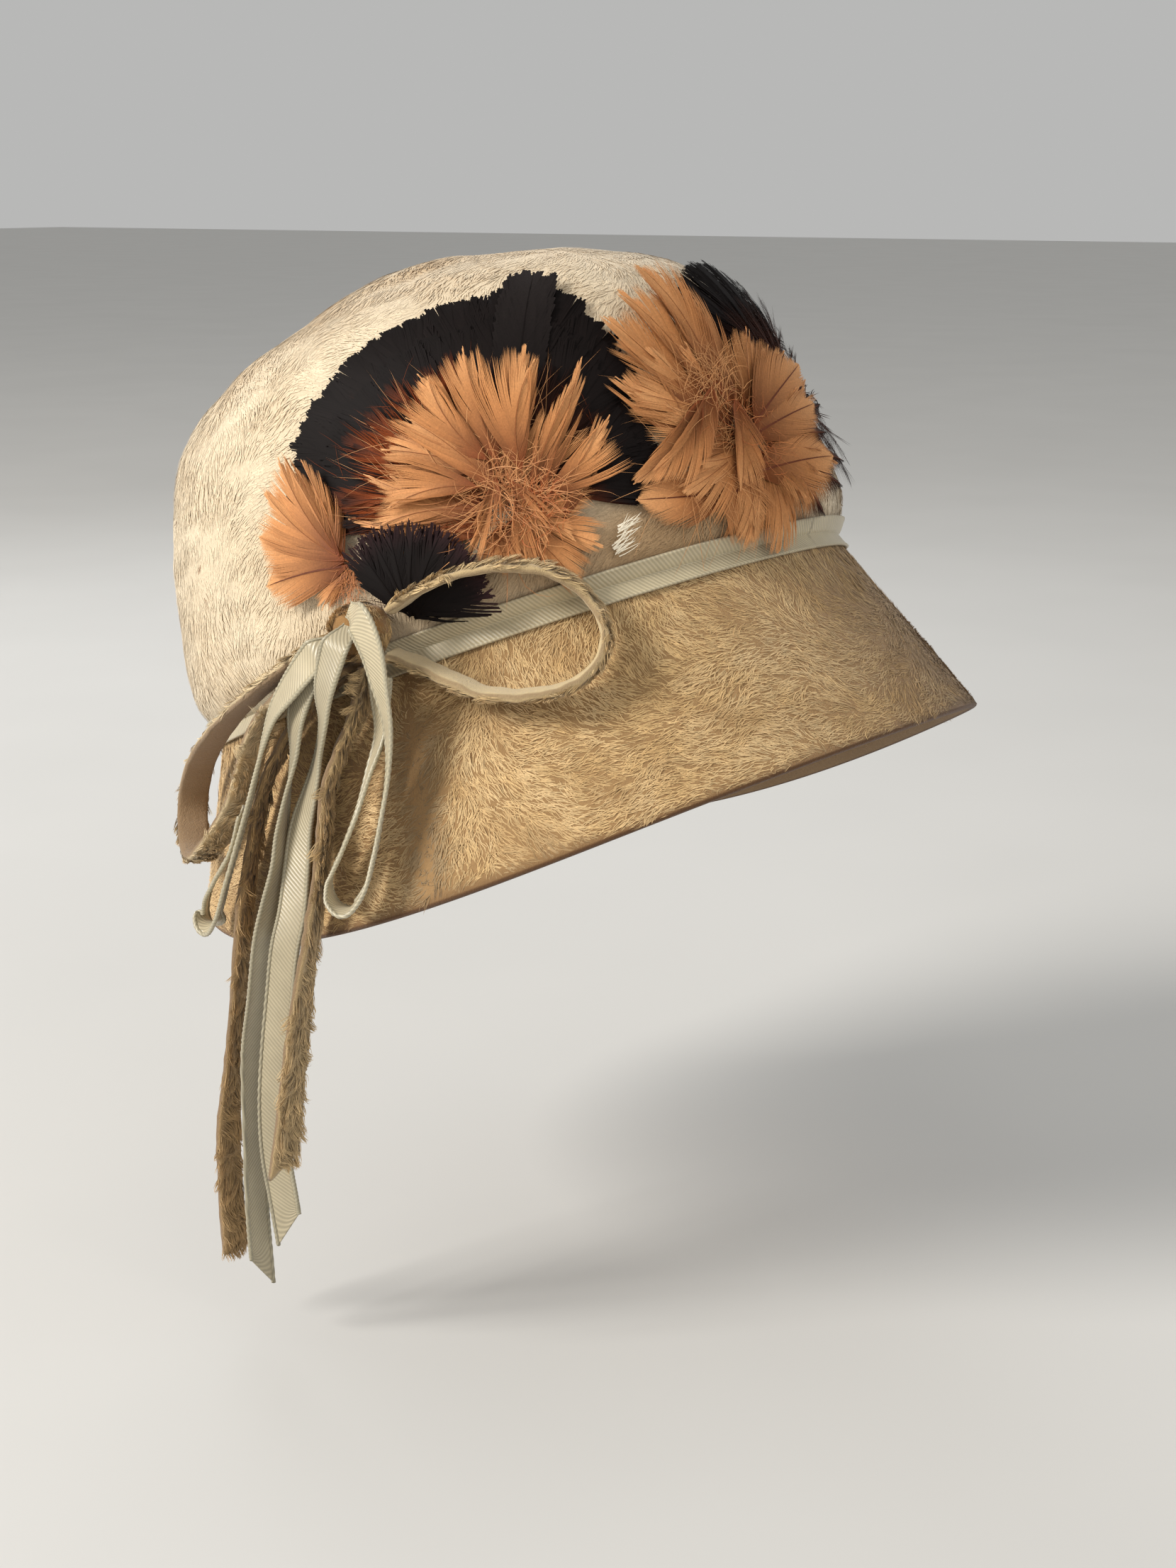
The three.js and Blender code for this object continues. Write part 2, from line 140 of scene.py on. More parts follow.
def to_world_way(ways):
    return to_world(ways) / MM


# Turns run from the hat's front over the wearer's right side to its back, in radians.
def crown_skin(turn, level):
    scale = np.interp(level, PROFILE_LEVEL, PROFILE_RADIUS) / MEAN_RADIUS
    height = np.interp(level, PROFILE_LEVEL, PROFILE_HEIGHT)
    sideways = -HEAD_WIDTH * scale * np.sin(turn)
    back = -HEAD_LENGTH * scale * np.cos(turn)
    return np.stack(np.broadcast_arrays(sideways, back, height), -1)


def brim_skin(turn, fall):
    reach = np.where(np.cos(turn) > 0, BRIM_EDGE["front"], BRIM_EDGE["back"])
    drop = BRIM_DROP["mean"] + BRIM_DROP["front_dip"] * np.cos(turn)
    drop = drop + BRIM_DROP["saddle"] * np.cos(2 * turn) + BRIM_DROP["third"] * np.cos(3 * turn)
    start = np.stack([-HEAD_WIDTH * np.sin(turn), -HEAD_LENGTH * np.cos(turn), np.zeros(turn.shape)], -1)
    edge = np.stack([-BRIM_EDGE["side"] * np.sin(turn), -reach * np.cos(turn), drop], -1)
    return start + (edge - start) * np.asarray(fall)[..., None]


# A skin's outward normal and its two directions: forward round the hat, and up the skin.
def skin_axes(skin, turn, level, step):
    nudge = 0.01
    forward = skin(turn - nudge, level) - skin(turn + nudge, level)
    upward = skin(turn, level + step) - skin(turn, level - step)
    return unit(np.cross(forward, upward)), unit(forward), unit(upward)


def crown_axes(turn, level):
    inside = np.clip(level, 0.6, CROWN_LENGTH - 0.6)
    return skin_axes(crown_skin, turn, inside, 0.5)


def on_crown(turn, level, lift):
    normal = crown_axes(turn, level)[0]
    return crown_skin(turn, level) + normal * np.asarray(lift)[..., None]


def on_brim(turn, fall, lift):
    normal = skin_axes(brim_skin, turn, fall, -0.02)[0]
    return brim_skin(turn, fall) + normal * np.asarray(lift)[..., None]


# Meshes. A batch holds points with colours, and faces of four or three corners.
class Batch:
    def __init__(self):
        self.points, self.colours, self.quads, self.tris = [], [], [], []
        self.count = 0

    def add(self, points, colours, quads=None, tris=None):
        points = np.asarray(points, float).reshape(-1, 3)
        self.points.append(points)
        self.colours.append(np.broadcast_to(colours, points.shape).reshape(-1, 3))
        if quads is not None and len(quads):
            self.quads.append(np.asarray(quads).reshape(-1, 4) + self.count)
        if tris is not None and len(tris):
            self.tris.append(np.asarray(tris).reshape(-1, 3) + self.count)
        self.count += len(points)

    def triangles(self):
        return 2 * sum(len(q) for q in self.quads) + sum(len(t) for t in self.tris)


# Makes an object that rides on the hat's body, with its material and the solids that it stands for.
def build(name, batch, material, stands_for=(), uv=None):
    points = np.vstack(batch.points)
    colours = np.vstack(batch.colours)
    quads = np.vstack(batch.quads) if batch.quads else np.zeros((0, 4), int)
    tris = np.vstack(batch.tris) if batch.tris else np.zeros((0, 3), int)
    corners = np.concatenate([quads.ravel(), tris.ravel()])
    sizes = np.concatenate([np.full(len(quads), 4), np.full(len(tris), 3)])
    mesh = bpy.data.meshes.new(name)
    mesh.vertices.add(len(points))
    mesh.vertices.foreach_set("co", points.ravel())
    mesh.loops.add(len(corners))
    mesh.loops.foreach_set("vertex_index", corners)
    mesh.polygons.add(len(sizes))
    mesh.polygons.foreach_set("loop_start", np.concatenate([[0], np.cumsum(sizes)[:-1]]))
    mesh.polygons.foreach_set("use_smooth", np.ones(len(sizes), bool))
    mesh.update(calc_edges=True)
    paint = mesh.color_attributes.new("Col", "FLOAT_COLOR", "POINT")
    rgba = np.hstack([np.clip(colours, 0, 1), np.ones((len(colours), 1))])
    paint.data.foreach_set("color", rgba.ravel())
    if uv is not None:
        layer = mesh.uv_layers.new(name="UV")
        layer.data.foreach_set("uv", np.asarray(uv)[corners].ravel())
    mesh.materials.append(material)
    piece = bpy.data.objects.new(name, mesh)
    bpy.context.scene.collection.objects.link(piece)
    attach(piece, "root")
    if stands_for:
        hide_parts(*stands_for)
    print(name, batch.triangles(), "triangles")
    return piece


# Thin ribbons of faces along paths: points is (strands, levels, 3), half the half width.
# Pointed ones end in one point, and cut ones keep their width.
def add_strands(batch, points, side, half, colours, pointed=True):
    count, levels, _ = points.shape
    across = side * half[..., None]
    pairs = np.stack([points - across, points + across], 2)
    paint = np.repeat(colours[:, :, None], 2, 2)
    if pointed:
        shown = np.concatenate([pairs[:, :-1].reshape(count, -1, 3), points[:, -1:]], 1)
        shades = np.concatenate([paint[:, :-1].reshape(count, -1, 3), colours[:, -1:]], 1)
        segments = levels - 2
    else:
        shown = pairs.reshape(count, -1, 3)
        shades = paint.reshape(count, -1, 3)
        segments = levels - 1
    base = np.arange(count)[:, None] * shown.shape[1]
    quads = [base + np.array([2 * j, 2 * j + 1, 2 * j + 3, 2 * j + 2]) for j in range(segments)]
    tris = base + 2 * segments + np.arange(3) if pointed else None
    batch.add(shown, shades.reshape(-1, 3), np.vstack(quads), tris)


# A closed grid: rows of loops of points, with the rows' ends joined or capped by a point.
def add_grid(batch, rows, colours, join_ends=False, caps=False):
    count, around = rows.shape[:2]
    row = np.arange(count if join_ends else count - 1)[:, None]
    column = np.arange(around)[None, :]
    next_row = (row + 1) % count
    beside = (column + 1) % around
    corners = [
        row * around + column,
        row * around + beside,
        next_row * around + beside,
        next_row * around + column,
    ]
    quads = np.stack(np.broadcast_arrays(*corners), -1).reshape(-1, 4)
    points = rows.reshape(-1, 3)
    shades = np.broadcast_to(colours, rows.shape).reshape(-1, 3)
    if not caps:
        batch.add(points, shades, quads)
        return
    loop = np.arange(around)
    last = (count - 1) * around
    first_cap = np.stack([np.full(around, len(points)), (loop + 1) % around, loop], -1)
    last_cap = np.stack([np.full(around, len(points) + 1), last + loop, last + (loop + 1) % around], -1)
    points = np.vstack([points, rows[0].mean(0), rows[-1].mean(0)])
    shades = np.vstack([shades, shades[:1], shades[-1:]])
    batch.add(points, shades, quads, np.vstack([first_cap, last_cap]))


# Looks of fur: the points along a hair, how far it strays, bends and stands up, how many hairs
# share a lock, how tightly they gather, how thin a tip gets, and how tones and turns vary.
NAP_LOOK = {
    "levels": 3, "stray": 0.2, "bend": 0.12, "stand": 0.04, "lock": 20, "gather": 0.12,
    "taper": 0.5, "lock_tone": 0.008, "hair_tone": 0.015, "roll": 0.025,
}
BRIM_LOOK = {
    "levels": 4, "stray": 0.3, "bend": 0.22, "lock": 14, "gather": 0.4,
    "taper": 0.6, "lock_tone": 0.03, "hair_tone": 0.03, "roll": 0.18,
}
STRIP_LOOK = {
    "levels": 4, "stray": 0.25, "bend": 0.3, "lock": 20, "gather": 0.7,
    "taper": 0.6, "lock_tone": 0.08, "hair_tone": 0.06, "roll": 0.3,
}
WRAP_LOOK = {
    "levels": 4, "stray": 0.4, "bend": 0.3, "stand": 0.2, "lock": 16, "gather": 0.5,
    "taper": 0.7, "lock_tone": 0.1, "hair_tone": 0.08, "roll": 0.3,
}


# Fur: each hair leans over from its root and gathers with its neighbours into a lock.
def add_fur(batch, roots, normals, headings, length, width, tones, look):
    chance = np.random.default_rng(look["seed"])
    count = len(roots)
    levels = look["levels"]
    side = unit(np.cross(normals, headings))
    swing = chance.normal(0, look["stray"], count)[:, None]
    headings = unit(headings + side * swing)
    side = unit(np.cross(normals, headings))
    part = np.linspace(0, 1, levels)[None, :, None]
    reach = length[:, None, None]
    bend = chance.normal(0, look["bend"], count)[:, None, None]
    stand = (look["stand"] * chance.uniform(0.5, 1.5, count))[:, None, None]
    rise = stand * part * (1 - 0.55 * part)
    path = roots[:, None] + reach * (
        headings[:, None] * part * (1 - 0.15 * part)
        + side[:, None] * bend * part ** 2
        + normals[:, None] * rise
    )
    middles = chance.choice(count, max(2, int(count / look["lock"])), replace=False)
    tree = kdtree.KDTree(len(middles))
    for index, middle in enumerate(middles):
        tree.insert(roots[middle], index)
    tree.balance()
    nearest = np.array([tree.find(root)[1] for root in roots.tolist()])
    leader = middles[nearest]
    drawn = path[leader, -1] - path[:, -1]
    path = path + drawn[:, None] * look["gather"] * part ** 1.6
    roll = chance.normal(0, look["roll"], count)[:, None, None]
    face = unit(side[:, None] * np.cos(roll) + normals[:, None] * np.sin(roll))
    thin = 1 - look["taper"] * part[..., 0]
    half = width / 2 * thin * chance.uniform(0.75, 1.25, count)[:, None]
    lock_tone = chance.normal(0, look["lock_tone"], len(middles))[nearest]
    tone = (1 + chance.normal(0, look["hair_tone"], count) + lock_tone)[:, None, None]
    # Each hair is painted from its root colour to its tip colour; a darker root is painted shade down
    # among the hairs.
    root_colour, tip_colour = tones
    shade = root_colour[:, None] * (1 - part) + tip_colour[:, None] * part
    add_strands(batch, path, face, half, np.clip(shade * tone, 0.01, 1))


# Materials. Each takes the painted colour and adds fine variation, bump and sheen.
class Look:
    def __init__(self, name, roughness, sheen=0.0, specular=0.3):
        self.material = bpy.data.materials.new(name)
        self.material.use_nodes = True
        self.nodes = self.material.node_tree.nodes
        self.link = self.material.node_tree.links.new
        self.inputs = self.nodes["Principled BSDF"].inputs
        self.inputs["Roughness"].default_value = roughness
        self.inputs["Specular IOR Level"].default_value = specular
        self.inputs["Sheen Weight"].default_value = sheen
        self.inputs["Sheen Roughness"].default_value = 0.5
        self.place = self.nodes.new("ShaderNodeTexCoord").outputs["Object"]

    def node(self, kind, values):
        node = self.nodes.new(kind)
        for name, value in values.items():
            node.inputs[name].default_value = value
        return node

    def painted(self):
        node = self.nodes.new("ShaderNodeAttribute")
        node.attribute_name = "Col"
        return node.outputs["Color"]

    def noise(self, scale, detail=3.0, roughness=0.55):
        values = {"Scale": scale, "Detail": detail, "Roughness": roughness}
        node = self.node("ShaderNodeTexNoise", values)
        self.link(self.place, node.inputs["Vector"])
        return node.outputs["Fac"]

    # Multiplies a colour by a texture's value, which is first ranged between two factors.
    def times(self, colour, value, to_low, to_high, low=0.3, high=0.7):
        values = {"From Min": low, "From Max": high, "To Min": to_low, "To Max": to_high}
        factor = self.node("ShaderNodeMapRange", values)
        self.link(value, factor.inputs["Value"])
        node = self.nodes.new("ShaderNodeMix")
        node.data_type = "RGBA"
        node.blend_type = "MULTIPLY"
        node.inputs["Factor"].default_value = 1.0
        self.link(colour, node.inputs["A"])
        self.link(factor.outputs["Result"], node.inputs["B"])
        return node.outputs["Result"]

    def bump(self, height, strength, distance):
        node = self.node("ShaderNodeBump", {"Strength": strength, "Distance": distance})
        self.link(height, node.inputs["Height"])
        self.link(node.outputs["Normal"], self.inputs["Normal"])

    def finish(self, colour):
        self.link(colour, self.inputs["Base Color"])
        return self.material


# Felt under the fur: matted fibre, blotches and a soft sheen.
def felt_material():
    look = Look("felt_base", 0.95, sheen=0.25, specular=0.15)
    broad = look.noise(55, 4)
    fine = look.noise(900, 4, 0.65)
    fibre = look.noise(2600, 2, 0.7)
    height = look.nodes.new("ShaderNodeMath")
    height.operation = "ADD"
    look.link(fine, height.inputs[0])
    look.link(fibre, height.inputs[1])
    look.bump(height.outputs["Value"], 0.55, 0.0006)
    blotched = look.times(look.painted(), broad, 0.95, 1.03)
    return look.finish(look.times(blotched, fine, 0.92, 1.05))


# Satin: a close twill seen from near, with a soft lustre. UV is in metres along and across.
def satin_material():
    look = Look("satin_weave", 0.36, sheen=0.15, specular=0.5)
    uv = look.nodes.new("ShaderNodeUVMap")
    uv.uv_map = "UV"
    spin = look.node("ShaderNodeVectorRotate", {"Angle": math.radians(38)})
    spin.rotation_type = "Z_AXIS"
    look.link(uv.outputs["UV"], spin.inputs["Vector"])
    weave = look.node("ShaderNodeTexWave", {"Scale": 320, "Distortion": 0.6})
    look.link(spin.outputs["Vector"], weave.inputs["Vector"])
    look.bump(weave.outputs["Fac"], 0.6, 0.00015)
    woven = look.times(look.painted(), weave.outputs["Fac"], 0.76, 1.06, 0, 1)
    return look.finish(look.times(woven, look.noise(160), 0.93, 1.05))


# Hairs of fur and barbs of feathers: their gloss, and streaks along the locks.
def strand_material(name, roughness, sheen, specular, streaks, darkest, lightest):
    look = Look(name, roughness, sheen, specular)
    return look.finish(look.times(look.painted(), look.noise(streaks, 2), darkest, lightest))


# One plain colour with faint clouds.
def plain_material(name, colour, roughness):
    look = Look(name, roughness)
    tint = look.nodes.new("ShaderNodeRGB")
    tint.outputs[0].default_value = (*colour, 1)
    return look.finish(look.times(tint.outputs[0], look.noise(6, 2), 0.985, 1.015))


CREAM = light(220, 203, 174)
CREAM_DEEP = light(188, 158, 114)
CAMEL = light(206, 172, 120)
CAMEL_DEEP = light(150, 112, 66)
CAMEL_LIGHT = light(228, 204, 162)
TAUPE = light(148, 122, 92)
EDGE_BROWN = light(92, 64, 40)
SATIN = light(192, 179, 148)
SATIN_CORD = light(206, 195, 164)

felt = felt_material()
fur = strand_material("felt_fur", 0.78, 0.2, 0.25, 1400, 0.86, 1.12)
satin = satin_material()
dark_feather = strand_material("dark_barbs", 0.62, 0.0, 0.1, 1900, 0.87, 1.1)
tan_feather = strand_material("tan_barbs", 0.55, 0.05, 0.22, 1900, 0.87, 1.1)


# The crown: a closed felt shell, a little uneven, under a short smooth nap.
CROWN_UNEVEN = 0.55
UNDER_NAP = 0.42
HAIR_ROOT = 0.35


def crown_bumps(turn, level):
    spots = crown_skin(turn, level)
    return CROWN_UNEVEN * (ripple(spots, 46, 3) + 0.35 * ripple(spots, 17, 4)) * smooth(0, 14, level)


def crown_colour(turn, level):
    spots = crown_skin(turn, level)
    patchy = 0.5 + 0.5 * ripple(spots, 52, 8)
    high = smooth(88, 150, level) * (0.7 + 0.3 * ripple(spots, 24, 9))
    part = np.clip(0.2 * patchy + 0.75 * high, 0, 1)
    colour = mix(CREAM, CREAM_DEEP, part)
    # Low at the front, beside the feathers, the felt is painted a deeper camel: partly its own tone and
    # partly painted shade.
    low_front_camel_and_shade = np.exp(-((np.degrees(turn) % 360 - 34) / 34) ** 2) * (1 - smooth(12, 34, level))
    return mix(colour, CAMEL_DEEP, 0.75 * low_front_camel_and_shade)


def make_crown():
    turns = np.linspace(0, 2 * math.pi, 140, endpoint=False)
    levels = np.linspace(CROWN_LENGTH - 1.2, 0, 64)
    batch = Batch()
    level, turn = np.meshgrid(levels, turns, indexing="ij")
    outer = on_crown(turn, level, crown_bumps(turn, level) - UNDER_NAP)
    inner = on_crown(turn, level, -FELT)[::-1]
    rows = np.concatenate([outer, inner])
    shades = np.concatenate([crown_colour(turn, level), np.broadcast_to(CREAM_DEEP * 0.9, inner.shape)])
    add_grid(batch, to_world(rows), shades, caps=True)
    build("crown_felt", batch, felt, ["crown"])


# Small stains: their turn in degrees and level, and their size.
SPOTS = [((118, 47), 1.7), ((116, 38), 1.3), ((131, 66), 1.0)]
STAIN = light(120, 78, 40)
NAP_HAIRS = 60000
NAP_WIDTH = 0.44


def make_crown_nap():
    chance = np.random.default_rng(11)
    count = NAP_HAIRS
    turn = chance.uniform(0, 2 * math.pi, count * 2)
    level = chance.uniform(1, CROWN_LENGTH - 2, count * 2)
    widest = MEAN_RADIUS * 1.06
    keep = chance.uniform(0, widest, count * 2) < np.interp(level, PROFILE_LEVEL, PROFILE_RADIUS)
    turn, level = turn[keep][:count], level[keep][:count]
    normal, forward, upward = crown_axes(turn, level)
    spots = crown_skin(turn, level)
    lean = math.radians(235) + 0.75 * ripple(spots, 70, 21) + 0.35 * ripple(spots, 22, 22)
    heading = unit(forward * np.cos(lean)[:, None] + upward * np.sin(lean)[:, None])
    roots = to_world(on_crown(turn, level, crown_bumps(turn, level) - HAIR_ROOT))
    colour = crown_colour(turn, level)
    for (degrees, height), size in SPOTS:
        middle = crown_skin(math.radians(degrees), height)
        near = 1 - smooth(0.4 * size, 1.3 * size, np.linalg.norm(spots - middle, axis=1))
        colour = mix(colour, STAIN, near * 0.85)
    wave = 1 + 0.045 * ripple(spots, 8, 31) + 0.03 * ripple(spots, 3.5, 32)
    batch = Batch()
    length = chance.uniform(3.6, 5.6, len(turn)) * MM
    tones = (colour * 0.97 * wave[:, None], colour * 1.03 * wave[:, None])
    look = dict(NAP_LOOK, seed=12)
    ways = (to_world_way(normal), to_world_way(heading))
    add_fur(batch, roots, *ways, length, NAP_WIDTH * MM, tones, look)
    build("crown_nap", batch, fur)


# The brim: a closed felt skirt with a rounded, darker cut edge and a plainer underside.
# Its edge's rounding is given by how far down it is and how far off the felt's skin.
BRIM_ROUNDING = [(0.993, -0.25), (0.999, -0.8), (1.0, -1.25), (0.999, -1.7), (0.993, -2.3)]
BRIM_LAST = 0.985
BRIM_SKIN = light(152, 120, 80)
PARTING_SKIN = light(120, 98, 72)


def brim_bumps(spots, fall):
    return 0.25 * ripple(spots, 30, 5) * np.sin(math.pi * fall)


def make_brim():
    turns = np.linspace(0, 2 * math.pi, 256, endpoint=False)
    top = SEAM_GAP / -BRIM_DROP["mean"]
    falls = np.linspace(top, BRIM_LAST, 26)
    rows, shades = [], []
    for fall in falls:
        wave = brim_bumps(brim_skin(turns, fall), fall)
        rows.append(on_brim(turns, fall, wave - 0.3))
        shades.append(BRIM_SKIN if fall < 0.97 else mix(BRIM_SKIN, EDGE_BROWN, 0.5))
    for fall, lift in BRIM_ROUNDING:
        rows.append(on_brim(turns, fall, lift))
        shades.append(EDGE_BROWN)
    for fall in falls[::-1]:
        rows.append(on_brim(turns, fall, -FELT))
        shades.append(TAUPE)
    rows = np.array(rows)
    shades = np.broadcast_to(np.array(shades)[:, None], rows.shape)
    batch = Batch()
    add_grid(batch, to_world(rows), shades, join_ends=True)
    build("brim_felt", batch, felt, ["brim"])


# How the brim's fur lies: up over the band, swept back lower down, and parted under the bow.
# Drawing the square of the girth, from the seam's to the edge's, spreads the hairs evenly.
PARTING = math.radians(79)
PARTING_PULL = 0.62
GIRTH_SQUARES = (0.8, 1.6)

# The two layers: name, hairs, seed, lengths, how they stand, and the hairs' width.
BRIM_FUR = [
    ("brim_fur_low", 35500, 201, (3.6, 5.8), 0.1, 0.36),
    ("brim_fur_top", 21500, 203, (4.0, 7.0), 0.18, 0.25),
]


def brim_lean(turn, fall, spots):
    lean = math.radians(98) + math.radians(82) * smooth(0.16, 0.62, fall)
    beside = np.exp(-((turn - PARTING) / 0.24) ** 2)
    forward_side = turn < PARTING
    parted = np.where(forward_side, math.radians(-35), math.radians(215))
    lean = lean * (1 - beside * PARTING_PULL) + parted * beside * PARTING_PULL
    return lean + 0.5 * ripple(spots, 40, 41) + 0.28 * ripple(spots, 14, 42)


def add_brim_fur(name, count, seed, length_range, stand, width):
    chance = np.random.default_rng(seed)
    turn = chance.uniform(-math.pi, math.pi, count)
    fall = np.sqrt(chance.uniform(*GIRTH_SQUARES, count))
    first, last = np.sqrt(GIRTH_SQUARES)
    fall = (fall - first) / (last - first) * BRIM_LAST + 0.005
    normal, forward, downward = skin_axes(brim_skin, turn, fall, 0.02)
    normal = -normal
    upward = -downward
    spots = brim_skin(turn, fall)
    lean = brim_lean(turn, fall, spots)
    heading = unit(forward * np.cos(lean)[:, None] + upward * np.sin(lean)[:, None])
    roots = to_world(on_brim(turn, fall, brim_bumps(spots, fall) - HAIR_ROOT))
    light_part = np.clip(0.45 + 0.3 * ripple(spots, 34, 51) + 0.25 * ripple(spots, 9, 52), 0, 1)
    colour = mix(CAMEL, CAMEL_LIGHT, 0.42 * light_part)
    colour = mix(colour, CAMEL_DEEP, np.clip(0.3 * ripple(spots, 26, 53), 0, 0.35))
    # Toward the front the fur is painted deeper and darker: painted shade on the side away from the key
    # light.
    front = 1 - smooth(math.radians(-5), math.radians(45), np.abs(turn + 0.2))
    colour = mix(colour, CAMEL_DEEP * 0.85, 0.42 * front)
    parted = np.exp(-((turn - PARTING) / 0.055) ** 2) * smooth(0.15, 0.4, fall)
    colour = mix(colour, PARTING_SKIN, 0.75 * parted)
    colour = mix(colour, EDGE_BROWN, 0.55 * smooth(0.955, 0.99, fall))
    length = chance.uniform(*length_range, count) * MM * (1 - 0.5 * smooth(0.93, 1.0, fall))
    # Darker roots: painted shade among the hairs.
    tones = (colour * 0.8, colour * 1.08)
    look = dict(BRIM_LOOK, seed=seed + 1, stand=stand)
    batch = Batch()
    ways = (to_world_way(normal), to_world_way(heading))
    add_fur(batch, roots, *ways, length, width * MM, tones, look)
    build(name, batch, fur)


# The satin band over the seam, with corded edges.
def make_band():
    turns = np.linspace(0, 2 * math.pi, 420, endpoint=False)
    half = BAND_WIDTH / 2
    front_top, front_edge = brim_skin(np.zeros(2), np.array([0.0, 1.0]))
    slant = np.linalg.norm(front_edge - front_top)

    def spot(height, lift):
        upper = on_crown(turns, max(height, 0) + 0.6, lift)
        lower = on_brim(turns, max(-height, 0.001) / slant, lift)
        part = smooth(-1.5, 1.5, height)
        return lower * (1 - part) + upper * part

    steps = np.linspace(-half, half, 17)
    outer = [spot(h, BAND_LIFT + 0.35 + 0.25 * smooth(half - 1.1, half - 0.3, abs(h))) for h in steps]
    inner = [spot(h, BAND_LIFT - 0.35) for h in steps[::-1]]
    rows = np.array(outer + inner)
    around = np.concatenate([[0], np.cumsum(np.linalg.norm(np.diff(rows[0], axis=0), axis=1))])
    across = np.concatenate([steps, steps[::-1]])
    uv = np.stack(np.broadcast_arrays(around[None, :], across[:, None]), -1).reshape(-1, 2) * MM
    batch = Batch()
    add_grid(batch, to_world(rows), np.broadcast_to(SATIN, rows.shape), join_ends=True)
    build("band_satin", batch, satin, ["hat_band"], uv=uv)


# Strips. Columns: out, back, up, and the compass direction of the width, 0 front, 90 outward.
STRIPS = {
    "felt_loop_front": [
        (95, -21.5, 25.5, 80), (92, -29, 31, 75), (88, -38, 35.5, 70), (82.5, -50, 38, 64),
        (76, -61, 36, 56), (71.5, -69, 29, 56), (74, -75, 21, 58), (79.5, -75.5, 14, 64),
        (85, -70.5, 9, 68), (89.5, -61.5, 6.5, 74), (92, -50.5, 6, 76), (92.5, -39.5, 8.5, 78),
        (93, -29.5, 11.5, 80), (95, -21.5, 14, 82),
    ],
    "felt_loop_back": [
        (94, -3, 16.5, 88), (95, 9, 9.5, 90), (94.5, 22, 0.5, 94), (88, 43, -14, 108),
        (80, 61, -31, 122), (78, 66, -44, 128), (86, 58.5, -53.5, 126), (92, 50, -53, 120),
        (92.5, 36, -36, 112), (92, 27, -13, 104), (95, 12, 1.5, 96), (94, -3, 11.5, 90),
    ],
    "felt_tail_back": [
        (95, -8, 9, 78), (95, 3, 0, 75), (95.5, 10.5, -8, 72), (96, 16, -16, 70), (98, 20, -25, 70),
        (100, 22, -36, 70), (103, 23, -49, 70), (108, 22, -62, 70), (109.8, 22.5, -80, 74),
        (110, 25, -102, 82), (112, 27, -125, 90), (112, 27, -149, 96), (111, 27, -163, 98),
    ],
    "felt_tail_front": [
        (95, -13, 9.5, 76), (96, -12, 3, 74), (98.5, -11, -4, 70), (102, -8.5, -13, 68),
        (105, -7, -21, 66), (109, -8, -32, 64), (113.5, -10, -43, 64), (118.5, -11.5, -55, 70),
        (121.5, -10, -73, 82), (123.8, -8.3, -92, 92), (125.2, -6.3, -111, 98),
        (126, -4.5, -124, 100),
    ],
    "satin_loop_front": [
        (106.4, -13, 27, 0), (106.8, -19, 25, 2), (107, -23.5, 18, 8), (106.5, -26, 8, 25),
        (106.5, -28.5, -3, 42), (108, -29.5, -14, 52), (111, -29.5, -25, 56), (115, -29.5, -36, 58),
        (119, -29, -44.5, 58), (121, -25.5, -49.5, 58), (120, -20, -48.5, 58), (118, -17, -44, 58),
        (115, -19, -36, 58), (111.5, -21.5, -26, 56), (105.5, -21, -17, 52), (100, -21, -7, 40),
        (99, -20.5, 2, 20), (99, -20.5, 8.5, 8),
    ],
    "satin_loop_back": [
        (103.9, -8, 18, 0), (104, -2, 12.5, 3), (104.5, 5, 4.5, 18), (104, 12, -4, 40),
        (104.5, 15.5, -13, 50), (106, 17, -21, 56), (108, 18.5, -30, 58), (109.5, 21.5, -41, 58),
        (111, 25, -53, 58), (110, 29, -62, 58), (107, 34.5, -67.5, 58), (104, 39.5, -66.5, 58),
        (104, 38.5, -61, 58), (106, 32.5, -53, 58), (107, 26, -44, 58), (106.5, 22.5, -33, 58),
    ],
    "satin_tail_back": [
        (102.8, -8, 14, 0), (102.8, 0.5, 7, 2), (103.5, 4.5, -4, 22), (105, 4.5, -15, 44),
        (107, 5.5, -25, 58), (109, 6, -35, 72), (111, 5.5, -44, 82), (113, 7, -54, 90),
        (115, 8.5, -64, 91), (116, 10.5, -81, 91), (117, 12.5, -97, 91), (117, 13, -121, 91),
        (117, 13, -146, 91), (117, 12, -164, 91),
    ],
    "satin_tail_front": [
        (105.2, -13.5, 23.5, 0), (106.5, -10.5, 14, 2), (107.3, -8, 4, 22), (106.2, -6.5, -5, 46),
        (104.5, -3.5, -14, 48), (106.5, -2, -24, 30), (108.5, 0, -34, 12), (111.5, -0.5, -45, 2),
        (114.5, -1, -56, -4), (117, 0, -66, -6), (118, 1.5, -80, -4), (119, 3, -96, -6),
        (119.6, 3.8, -112, -12), (119.5, 3.4, -126, -15), (118.8, 2, -138, -14),
        (118, 1, -148, -12),
    ],
}
CUT_SLANT = {"felt_tail_front": 4.0, "satin_tail_back": -5.0, "satin_tail_front": -5.0}


